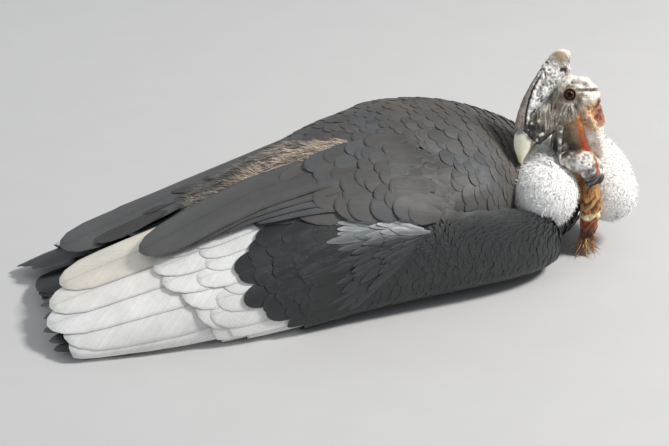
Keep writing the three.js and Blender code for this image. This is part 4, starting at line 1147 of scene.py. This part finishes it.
def head_skin():
    """Skin of the head, comb, neck, throat and crop, with its folds and colours."""
    points, faces, normals = fused(HEAD_NODES, HEAD_VOXEL, HEAD_SMOOTHING)
    x, y, z = points.T
    local = to_head(points)
    forward, left, up = local.T
    aside = np.abs(left)

    # Masks, 1 on their part of the skin; the limits are places and distances in mm
    in_head = ramp(np.linalg.norm(local - (20, 0, 0), axis=1), 82, 66)
    mirrored = from_head(to_head(points) * (1, -1, 1))
    ridge_far, ridge_share = nearest(points, RIDGE_CURVE)
    other_far, other_share = nearest(mirrored, RIDGE_CURVE)
    other = other_far < ridge_far
    ridge_far, ridge_share = np.where(other, other_far, ridge_far), np.where(other, other_share, ridge_share)
    seen_x = np.where(other, mirrored[:, 0], x)
    behind_ridge = seen_x - RIDGE_CURVE[(ridge_share * CURVE_STEPS).astype(int), 0]
    crop_far, _ = nearest(points, CROP_CURVE)
    roll_far, _ = nearest(points, ROLL_CURVE)
    neck_far, neck_share = nearest(points, NECK_CURVE)
    lappet_far, _ = nearest(local, LAPPET_CURVE)
    eye_far = np.linalg.norm(np.stack([forward, aside - EYE_SIDE - LID_OUT, up], 1), axis=1)
    comb = ramp(up - comb_base(forward), -2.5, 2.5) * ramp(aside, 13, 9) * ramp(forward, -50, -46)
    lobe = comb * ramp(forward, -18, -30) * ramp(up, 30, 40)
    outside = (1 - in_head) * (1 - comb)
    crop = ramp(crop_far, 23, 16) * (1 - in_head) * ramp(z, 138, 124)
    roll = ramp(roll_far, 23, 16) * (1 - in_head) * (1 - 0.8 * crop)
    knob = ramp(np.linalg.norm(points - KNOB_PLACE, axis=1), 20, 15) * ramp(y, -112, -122)
    lappet = ramp(lappet_far, 7, 4.5)
    lid = ramp(eye_far, 14, 10)
    crown = in_head * ramp(up - forward, 9, 13) * ramp(forward, 6, -4) * (1 - comb)
    second = in_head * ramp(forward, -12, -17) * ramp(up - forward, 7, 2) * ramp(up, -37, -30)
    notch = in_head * ramp(np.abs(up - forward - 8), 4.5, 1) * ramp(forward, -4, -10) * ramp(aside, 7, 12)
    cere = in_head * ramp(forward, 50, 64) * (1 - comb)
    nape = ramp(behind_ridge + 0.25 * ridge_far, 3, 9) * ramp(z, 140, 152) * (1 - crown)
    nape = nape * ramp(up, -28, -36) * ramp(x, 262, 272)
    below_nape = nape * ramp(z, 206, 192)
    fringe = ramp(z, 88, 98)
    from_edge = comb_edge(forward) - up
    long_comb = comb * ramp(forward, 0, 10)
    band = long_comb * ramp(from_edge, 7, 5)

    # Patterns of relief. Fine creases fan out below the eye; the rest of the face has long ones
    lumps = noise(points, 9, 5)
    warts = ridges(points, 5.5, 3)
    fine = ridges(points, 2.8, 4)
    worms = ridges(points + 3 * noise(points, 7, 31)[:, None], (4.6, 3.4, 4.6), 32)
    loose = ridges(points + 4 * noise(points, 14, 41)[:, None], (15, 15, 4.2), 42)
    round_eye = np.arctan2(up, forward)
    rays = ridges(np.stack([round_eye * 26, 0.14 * eye_far, 0 * up], 1), (1.7, 2.2, 9), 1)
    slanted = np.stack([forward * 0.8 - up * 0.6, left, forward * 0.6 + up * 0.8], 1)
    below = ramp(up, 4, -6) * ramp(eye_far, 11, 16) * ramp(eye_far, 44, 30)
    cheek = mix(ridges(slanted, (15, 9, 3.2), 1), rays, below) * ramp(aside, 5, 12)
    around = np.stack([neck_share * 160, 34 * np.arctan2(y + 90, x - 290), neck_far], 1)
    lengthwise = ridges(around, (26, 5.5, 30), 2)
    crop_turn = np.arctan2(y - CROP_Y, x - CROP_X)
    zigzag = 0.5 + 0.5 * np.sin(z / 2.5 + 3.8 * np.sin(crop_turn * 2.2 + 0.4) + 2.6 * lumps)
    fibres = ridges(np.stack([crop_turn * 16, z, crop_far], 1), (2.6, 30, 12), 33)
    folds = ridges(np.stack([x - 0.6 * z, y, 0.3 * z], 1), (5, 14, 14), 34)
    ripple = np.sin(round_eye * 13) * ramp(eye_far, 9, 12)
    groove = long_comb * ramp(np.abs(from_edge - 8 - lumps), 2.2, 0.8)
    crest = long_comb * ramp(np.abs(from_edge - 12.5 - lumps), 3, 1)

    # How far each point moves out, in mm
    depth = in_head * (1 - comb) * (1.9 * cheek + 0.9 * fine + 0.9 * lumps - 1.7)
    depth = mix(depth, 1.7 * warts + 2.3 * worms + fine + 1.3 * lumps - 2.9, comb)
    depth = mix(depth, 0.5 * fine - 0.2, band * 0.8) - 1.6 * groove + 0.9 * crest
    depth = mix(depth, 0.7 * lumps + 0.5 * fine - 0.3, lobe * 0.9)
    depth = mix(depth, 1.2 * ridges(points, (9, 9, 5), 6) + 0.8 * worms + 0.9 * lumps - 0.7, crown)
    depth = depth + CROWN_RISE * crown * ramp(forward, -25, -12) * ramp(aside, 19, 10)
    depth = mix(depth, 1.6 * lengthwise + 0.8 * fine + 0.6 * lumps - 1.5, outside)
    depth = mix(depth, 1.5 + 1.2 * worms - 0.6, second)
    depth = mix(depth, 2.6 * warts + fine + 2.2 * lumps - 2.0, nape)
    depth = depth - 3.4 * notch
    depth = mix(depth, 1.6 * ridges(points, (5, 5, 3.6), 7) + 1.4 * worms + 0.6 * fine - 1.9, roll)
    depth = mix(depth, mix(2.8 * zigzag, 1.8 * fibres, fringe) + 0.7 * fine - 3.6, crop)
    depth = mix(depth, 3.2 * folds + 0.5 * fine - 1.4, knob)
    depth = mix(depth, 0.9 * fine + 0.9 * lumps - 0.6, lappet)
    ridge_ends = ramp(ridge_share, 0.0, 0.12) * ramp(ridge_share, 1.0, 0.86)
    depth = depth + RIDGE_RISE * ramp(ridge_far, 4.2, 0.8) * ridge_ends
    depth = mix(depth, 0.35 * ripple + 0.4 * fine - 0.2, lid)
    depth = np.where(eye_far < 8, 0, depth)
    depth = mix(depth, 2.0 * loose + 0.8 * worms + 0.5 * fine - 2.0, below_nape)
    points = points + normals * depth[:, None]

    # Colours, each laid over those before it. Many follow depth: darker in creases, grooves and hollows as
    # painted shade, paler on raised folds, warts and crests as painted highlight.
    x, y, z = points.T
    patches = noise(points, 12, 8)
    mottle = noise(points, 4.5, 9)
    near_ridge = ramp(ridge_far, 13, 1) * ramp(behind_ridge, 4, -1) * ramp(z, 148, 160)
    near_ridge = near_ridge * ramp(ridge_share, 0.02, 0.3)
    ridge = blend(srgb(238, 150, 88), srgb(220, 102, 58), ramp(ridge_share, 0.2, 0.5))
    ridge = blend(ridge, srgb(186, 104, 70), ramp(ridge_share, 0.6, 0.85))
    lip = np.abs(z - 68 - 3 * lumps - 0.3 * (y - CROP_Y) - 0.2 * (x - CROP_X))
    # Rim of the comb's rear lobe, painted pale as highlight
    lobe_rim_highlight = np.maximum(ramp(aside, 3.4, 2.2), ramp(forward - 0.45 * (up - 45), -23, -19))
    tint = layered(
        np.broadcast_to(srgb(142, 132, 118), points.shape),
        # Face and crown
        # Painted highlight on the cheek's raised crests and painted shade in its creases
        ((206, 202, 192), in_head * ramp(cheek + 0.3 * patches, 0.6, 0.98)),
        ((70, 60, 52), in_head * ramp(cheek, 0.45, 0.15) * 0.9),
        ((184, 160, 128), in_head * ramp(up, -18, -30) * ramp(forward, 52, 30) * 0.8),
        # Painted highlight on the raised crown folds, painted shade in their creases
        ((226, 222, 212), crown * ramp(depth, -0.9, 0.5) * ramp(eye_far, 12, 18)),
        ((120, 108, 98), crown * ramp(depth, -1.4, -2.2)),
        # Neck, and the nape with its folds
        (blend(srgb(196, 172, 140), srgb(224, 204, 172), 0.5 + patches), outside),
        # Painted shade in the neck's creases
        ((112, 84, 60), outside * ramp(depth, -0.7, -1.8)),
        (blend(srgb(214, 128, 74), srgb(190, 92, 52), ramp(z, 200, 170)), near_ridge),
        (blend(srgb(220, 182, 140), srgb(190, 140, 100), 0.5 + mottle), nape),
        # Painted shade in the nape's creases
        ((108, 54, 38), nape * ramp(depth, -0.2, -1.8)),
        ((120, 62, 44), nape * ramp(x, 292, 301) * ramp(z, 188, 198) * 0.7),
        # Painted highlight on the nape's raised warts
        ((244, 226, 200), nape * ramp(depth, 1.0, 2.2) * 0.7),
        ((236, 230, 220), nape * ramp(z + 5 * lumps, 206, 192)),
        # Painted shade in the creases below the nape
        ((196, 168, 142), below_nape * ramp(depth, -0.4, -1.6) * 0.8),
        ((234, 228, 218), second),
        # Painted shadow under the second fold, and under the crown fold in the notch
        ((112, 68, 48), in_head * ramp(np.abs(up + 38), 4, 1.5) * ramp(forward, -8, -14)),
        ((88, 68, 54), notch * 0.9),
        # Throat roll, and the orange ridge that runs over it
        (blend(srgb(150, 146, 142), srgb(238, 234, 228), 0.45 + mottle), roll),
        # Painted shade in the roll's creases
        ((78, 72, 68), roll * ramp(depth, -0.1, -1.2)),
        (ridge, ramp(ridge_far, 4.0, 2.0) * ramp(ridge_share, 0.0, 0.1)),
        # Crop with a pale lip, and the striped knob above it
        (blend(srgb(206, 152, 88), srgb(158, 104, 56), 0.5 + patches), crop),
        # Painted shade in the crop's deep folds and painted highlight on its raised ones
        ((88, 56, 32), crop * ramp(depth, -1.8, -3.4)),
        ((240, 204, 150), crop * ramp(depth, -0.9, 0.0) * 0.8),
        ((246, 222, 184), crop * ramp(lip, 6, 2)),
        ((140, 74, 44), crop * ramp(z, 62, 54) * 0.85),
        ((66, 42, 30), crop * ramp(z, 48, 30) * 0.8),
        # Knob: dark grey, with painted highlight on the crests of its folds
        (blend(srgb(52, 52, 50), srgb(128, 126, 118), ramp(folds, 0.62, 0.95)), knob),
        # Comb
        (blend(srgb(206, 202, 196), srgb(150, 144, 136), 0.5 + patches + 0.4 * mottle), comb),
        ((96, 92, 88), comb * ramp(forward + 8 * lumps, 8, 46) * 0.75),
        # Painted shade in the comb's creases and painted highlight on its raised lumps
        ((46, 42, 40), comb * ramp(depth, -0.4, -1.7)),
        ((248, 246, 242), comb * ramp(depth, 0.1, 1.1)),
        # Edge band and its groove in painted shade, its crest in painted highlight
        ((140, 130, 118), band * 0.85),
        ((44, 40, 38), groove * 0.85),
        ((236, 232, 226), crest * 0.8),
        # Lobe's hollow face tan-grey, darkened as painted shade; its rim pale as painted highlight
        ((150, 134, 112), lobe),
        ((226, 218, 206), lobe * lobe_rim_highlight),
        # Skin before the comb, lappet and lids
        ((62, 58, 56), cere * (1 - 0.6 * ramp(mottle, 0, 0.4))),
        ((214, 212, 206), cere * ramp(mottle, 0.35, 0.6)),
        (blend(srgb(92, 88, 84), srgb(190, 186, 178), ramp(mottle, -0.2, 0.4)), lappet),
        ((122, 104, 86), lid * 0.8),
        ((34, 24, 20), ramp(eye_far, 9.8, 8.6)),
    )
    tint = tint * (1 + 0.2 * mottle[:, None]) * (1 + 0.12 * patches[:, None])
    return points, faces, np.clip(tint, 0.004, 0.9)


FRINGE_COUNT = 260
FRINGE_MIDDLE = np.array([297, -110, 0])
FRINGE_HEIGHTS = (8, 30)  # of the roots above the floor
FRINGE_LENGTH = (6, 15)
FRINGE_WIDTHS = np.array([0.8, 0.7, 0.5, 0.1])
ARM_SECTIONS = [
    # x, first and last q, thickness
    (246, 0.95, 1.08, 12), (242, 0.89, 1.2, 32), (232, 0.84, 1.3, 44), (214, 0.81, 1.37, 52),
    (175, 0.79, 1.44, 56), (120, 0.78, 1.44, 57), (65, 0.71, 1.42, 54), (25, 0.57, 1.38, 46),
    (-20, 0.46, 1.33, 36), (-80, 0.4, 1.27, 25), (-125, 0.38, 1.22, 19), (-160, 0.36, 1.16, 14),
]
UNDER_FEATHERS = 2.4  # how far the arm's flesh lies below the wing's face
UNDER_COAT = 4.5  # and the body's flesh below its coat
LIMB_NODES = ["leg_right", "leg_left", "foot_right", "foot_left"]
FLESH_HEIGHT = 0.3  # least height of flesh and claws above the floor


def crop_fringe(coat):
    """Shaggy tan strands at the crop's lower end."""
    count = FRINGE_COUNT
    turn = random.uniform(0, 2 * math.pi, count)
    height = random.uniform(*FRINGE_HEIGHTS, count)
    out = np.stack([np.cos(turn), 0.8 * np.sin(turn), 0 * turn], -1)
    root = FRINGE_MIDDLE + out * 9 + height[:, None] * (0, 0, 1.0)
    along = STRAND[0]
    length = random.uniform(*FRINGE_LENGTH, count)[:, None]
    lean = unit(out * random.uniform(0.3, 1.0, (count, 1)) + np.array([0.1, -0.1, -0.9]))
    curl = random.normal(0, 0.45, (count, 3))
    line = root[:, None] + (length[:, None] * along[None, :, None]) * lean[:, None]
    line = line + (length[:, None] * along[None, :, None] ** 2) * curl[:, None]
    side = unit(np.cross(lean, random.normal(0, 1, (count, 3))))[:, None] * FRINGE_WIDTHS[None, :, None]
    grid = np.stack([line - side, line + side], 2)
    tint = mix(srgb(120, 78, 48), srgb(222, 178, 124), random.uniform(0, 1, (count, 1)))
    where = np.stack([turn / (2 * math.pi), height / 40], -1)
    coat.add(grid, tint[:, None, None, :], STRAND, where)


def arm_skin(side):
    """The flesh of a folded arm and hand, just under its feathers."""
    surface = wing_surface(side)
    rings = []
    share = np.linspace(0, 1, 22)
    for section, following in zip(ARM_SECTIONS, ARM_SECTIONS[1:]):
        for part in np.linspace(0, 1, 4, endpoint=False):
            x, low, high, thick = (mix(here, there, part) for here, there in zip(section, following))
            q = mix(low, high, share)
            x = np.full(len(q), x)
            depth = np.maximum(thick * np.sqrt(1 - np.abs(2 * share - 1) ** 2.6), 3)
            normal = outward(surface, x, q)
            face = surface(x, q)
            outer = UNDER_FEATHERS + arm_drop(x, q)
            inner = np.maximum(depth, outer + 3)
            under = (face - inner[:, None] * normal)[::-1]
            rings.append(np.concatenate([face - outer[:, None] * normal, under]))
    return close_rings(rings)


def body_skin():
    rings = []
    degrees = np.arange(0, 360, 6.0)
    turned = np.where(degrees > 180, degrees - 360, degrees)
    for x in np.linspace(-303, 297, 70):
        place = np.full(len(degrees), x)
        rings.append(coat_point(place, turned) - UNDER_COAT * outward(coat_point, place, turned))
    return close_rings(rings)


def skin(material):
    """One skin under all the feathers: body, arms, legs, feet, neck and head."""
    limbs, limb_faces, limb_normals = fused(LIMB_NODES, 2.2, 4)
    scutes = ridges(limbs, (5, 4, 4), 12)
    limbs = limbs + limb_normals * (0.8 * scutes - 0.8)[:, None]
    limb_tint = blend(srgb(70, 62, 58), srgb(140, 130, 122), ramp(scutes, 0.4, 0.9))
    parts = [head_skin(), (limbs, limb_faces, limb_tint)]
    # Painted shade: flesh under the feathers is tinted near black so the gaps between feathers read as shade
    flesh_gap_shade = srgb(52, 44, 42) * 0.35
    for points, faces in (body_skin(), arm_skin(NEAR), arm_skin(FAR)):
        parts.append((points, faces, np.broadcast_to(flesh_gap_shade, points.shape)))
    starts = np.cumsum([0] + [len(points) for points, _, _ in parts])
    faces = np.concatenate([part[1] + start for part, start in zip(parts, starts)])
    points, tints = (np.concatenate([part[i] for part in parts]) for i in (0, 2))
    points[:, 2] = np.maximum(points[:, 2], FLESH_HEIGHT)
    mesh = mesh_of("condor_skin", points, faces, tints)
    link("condor_skin", mesh, material, ["torso", *HEAD_NODES, *LIMB_NODES])


EYE_SIDES = 48
EYE_RINGS = np.radians([3, 8, 14, 19, 22, 24, 26, 30, 35, 40, 45, 50, 54, 58, 66, 80, 100, 130, 160, 176])
CORNEA_RISE = 0.7


def eye(side, name, material):
    """An eyeball with a brown iris, a round pupil and a cornea that stands a little proud."""
    turn = np.linspace(0, 2 * math.pi, EYE_SIDES, endpoint=False)
    streaks = 0.75 + 0.35 * np.sin(turn * 17 + 2 * np.sin(turn * 5)) * np.sin(turn * 7)
    rings, tints = [], []
    for polar in EYE_RINGS:
        degrees = math.degrees(polar)
        bulge = EYE_RADIUS + CORNEA_RISE * float(ramp(degrees, 48, 15))
        ring = np.stack([np.sin(polar) * np.cos(turn), np.full(EYE_SIDES, side * math.cos(polar)),
                         np.sin(polar) * np.sin(turn)], -1) * bulge
        rings.append(from_head(ring + (0, side * EYE_SIDE, 0)))
        iris = mix(srgb(92, 58, 38), srgb(52, 31, 21), float(ramp(degrees, 26, 50))) * streaks[:, None]
        value = mix(srgb(6, 5, 5), iris, float(ramp(degrees, 22, 25)))
        tints.append(mix(value, srgb(30, 20, 16), float(ramp(degrees, 48, 54))))
    points, faces = close_rings(rings)
    mesh = mesh_of(name, points, faces, np.concatenate([tints[0], *tints, tints[-1]]))
    link(name, mesh, material, [name])


BILL_STATIONS = [
    # culmen x and z, cutting edge x and z, half width
    (79.3, 22, 79.3, -6, 11.5), (88, 20.5, 86, -8.5, 11), (96, 16, 92, -10.5, 9.6),
    (104, 8.5, 98, -11.5, 7.6), (110, -1, 104, -12.5, 5.2), (114.5, -9.5, 110, -14, 3),
    (116, -15.5, 114, -16.5, 0.8),
]
BILL_SIDES = 40
LOWER_BILL_X = (79.3, 98)
lower_bill_depth = profile((66, 9), (80, 9), (90, 7.5), (98, 3))
lower_bill_width = profile((66, 8.5), (84, 9), (94, 6.5), (98, 3))


def bill(material):
    turn = np.linspace(0, 2 * math.pi, BILL_SIDES, endpoint=False)
    rise = 0.5 + 0.5 * np.sin(turn)
    rings = []
    for top_x, top_z, low_x, low_z, wide in spline(BILL_STATIONS, 36):
        across = wide * power(np.cos(turn), 0.8)
        rings.append(np.stack([mix(low_x, top_x, rise), across, mix(low_z, top_z, rise)], -1))
    points, faces = close_rings(rings)
    forward, left, up = points.T
    cloud = noise(points, 8, 14)
    tint = layered(
        np.broadcast_to(srgb(240, 236, 214), points.shape),
        ((120, 124, 124), ramp(forward + 0.35 * (20 - up) + 4 * cloud, 92, 84)),
        ((206, 200, 150), ramp(forward - up * 0.6 + 3 * cloud, 108, 118) * 0.8),
        ((112, 114, 100), ramp(np.abs(left), 4.5, 1.0) * ramp(up, -8, -2) * 0.75),
        ((110, 108, 90), ramp(np.abs(left), 2.5, 0.5) * ramp(up, -5, -12) * 0.5),
    )
    mesh = mesh_of("bill_upper", from_head(points), faces, tint)
    link("bill_upper", mesh, material, ["bill_upper"])

    rings = []
    for x in np.linspace(*LOWER_BILL_X, 18):
        top = min(-8.5, -8.5 - (x - 86) * 0.32) - 1.2
        rings.append(np.stack([np.full(BILL_SIDES, x), lower_bill_width(x) * np.cos(turn),
                               top - lower_bill_depth(x) / 2 * (1 - np.sin(turn))], -1))
    points, faces = close_rings(rings)
    worn = ramp(points[:, 0] + 3 * noise(points, 6, 15), 86, 97)
    tint = blend(np.broadcast_to(srgb(112, 108, 100), points.shape), srgb(168, 164, 140), worn)
    mesh = mesh_of("bill_lower", from_head(points), faces, tint)
    link("bill_lower", mesh, material, ["bill_lower"])


# Claws

LEG_Y = 66
FOOT_X = 132
TOE_HEIGHT = 5.8
TOES = {  # turn in degrees from straight ahead, length, radius
    "inner": (-24, 66, 7.5), "middle": (0, 96, 8), "outer": (22, 68, 7), "hind": (152, 30, 6),
}
CLAW_PATH = ((0, 0), (8, 1.2), (15, -1), (19.5, -4.2))  # ahead of the toe's end and up


def claws(material):
    for side, name in ((-1, "right"), (1, "left")):
        for toe, (turn, length, radius) in TOES.items():
            angle = math.radians(turn * side)
            out = np.array([math.cos(angle), math.sin(angle), 0])
            start = np.array([FOOT_X, side * LEG_Y, TOE_HEIGHT]) + out * (6.4 + length)
            path = [start + out * ahead + (0, 0, up) for ahead, up in CLAW_PATH]
            points, faces = tube_rings(path, profile((0, radius - 2.2), (0.7, 2.2), (1, 0.8)), 14, 14)
            points[:, 2] = np.maximum(points[:, 2], FLESH_HEIGHT)
            tint = srgb(42, 38, 36) * (1 + 0.25 * noise(points, 5, 16))[:, None]
            piece = f"claw_{name}_{toe}"
            link(piece, mesh_of(piece, points, faces, tint), material, [piece])


# Light and floor

LIGHTS = [
    # name, place in metres, size in metres, power in watts, colour
    ("key", (2.45, -1.1, 2.8), 0.8, 162, (1.0, 0.97, 0.93)),
    ("fill", (-3.3, -1.3, 1.7), 1.7, 24, (0.93, 0.96, 1.0)),
    ("back", (-1.8, 2.6, 1.6), 1.8, 20, (0.95, 0.97, 1.0)),
]
SKY = (0.86, 0.9, 0.95, 1)
SKY_STRENGTH = 0.38
FLOOR_HALF = 6000
FLOOR_GREY = 0.55


def area_light(name, place, size, power_watts, tint):
    data = bpy.data.lights.new(name, "AREA")
    data.size = size
    data.energy = power_watts
    data.color = tint
    light = place_in_scene(name, data)
    light.location = place
    turn_to_aim(light, Vector(place) - AIM)


def studio():
    for light in LIGHTS:
        area_light(*light)
    world = bpy.data.worlds.new("studio")
    bpy.context.scene.world = world
    world.use_nodes = True
    background = world.node_tree.nodes["Background"]
    background.inputs["Color"].default_value = SKY
    background.inputs["Strength"].default_value = SKY_STRENGTH
    bpy.context.scene.view_settings.view_transform = "Standard"
    corners = [(x * FLOOR_HALF, y * FLOOR_HALF, 0) for x, y in ((-1, -1), (1, -1), (1, 1), (-1, 1))]
    mesh = mesh_of("floor", corners, [(0, 1, 2, 3)], np.full((4, 3), FLOOR_GREY))
    finish = Finish("floor", 0.9)
    finish.colour_by(finish.spread(finish.noise(14, 4), 0.97, 1.03))
    mesh.materials.append(finish.material)
    place_in_scene("floor", mesh)


def wing(side, name, vane_white, vane_black, vane_slate):
    """All feathers of one wing, in three pieces."""
    white, black, grey = Coat(), Coat(), Coat()
    flight_feathers(side, white, black)
    coverts(side, black)
    if side == NEAR:
        ruffled_fan(black)
    scapulars(side, grey)
    if side == FAR:
        far_steps(grey)
    white.make(f"wing_{name}_white", vane_white, "plumage_wing", [f"wing_{name}"])
    black.make(f"wing_{name}_black", vane_black, "plumage_wing")
    grey.make(f"scapulars_{name}", vane_slate, "plumage_dark")


def build():
    make_camera()
    studio()
    vane_black = feather_finish("feather_black", 0.42, 0.5, 0.35, Specular_IOR_Level=0.55)
    # The negative rims of the slate and white vanes paint shadow along the feathers' outlines
    vane_slate = feather_finish("feather_slate", 0.55, -0.22, 0.12, Specular_IOR_Level=0.4)
    vane_white = feather_finish("feather_white", 0.6, -0.16, 0.03, Specular_IOR_Level=0.3)
    down_white = down_finish("down_white", 0.85)
    down_brown = down_finish("down_brown", 0.8)

    def coat(fill, name, *settings):
        """Makes one piece of the feathers that a function lays."""
        feathers = Coat()
        fill(feathers)
        feathers.make(name, *settings)

    coat(crop_fringe, "crop_fringe", down_brown, "skin_brown")
    wing(NEAR, "right", vane_white, vane_black, vane_slate)
    wing(FAR, "left", vane_white, vane_black, vane_slate)
    coat(mantle, "body_feathers", vane_slate, "plumage_dark")
    coat(fluff, "rump_down", down_brown, "plumage_dark")
    coat(tail, "tail_feathers", vane_black, "plumage_dark", ["tail"])
    coat(ruff, "ruff_down", down_white, "down_white", ["ruff"])
    points, faces = ruff_core()
    mesh = mesh_of("ruff_core", points, faces, np.full(points.shape, 0.95))
    link("ruff_core", mesh, down_white)
    skin(skin_finish("skin", 0.62))
    bill(horn_finish("horn", 0.34, Specular_IOR_Level=0.55, Subsurface_Weight=0.08, Subsurface_Scale=0.003))
    glass = eye_finish()
    for side, name in ((-1, "eye_right"), (1, "eye_left")):
        eye(side, name, glass)
    claws(horn_finish("claw", 0.4))


build()
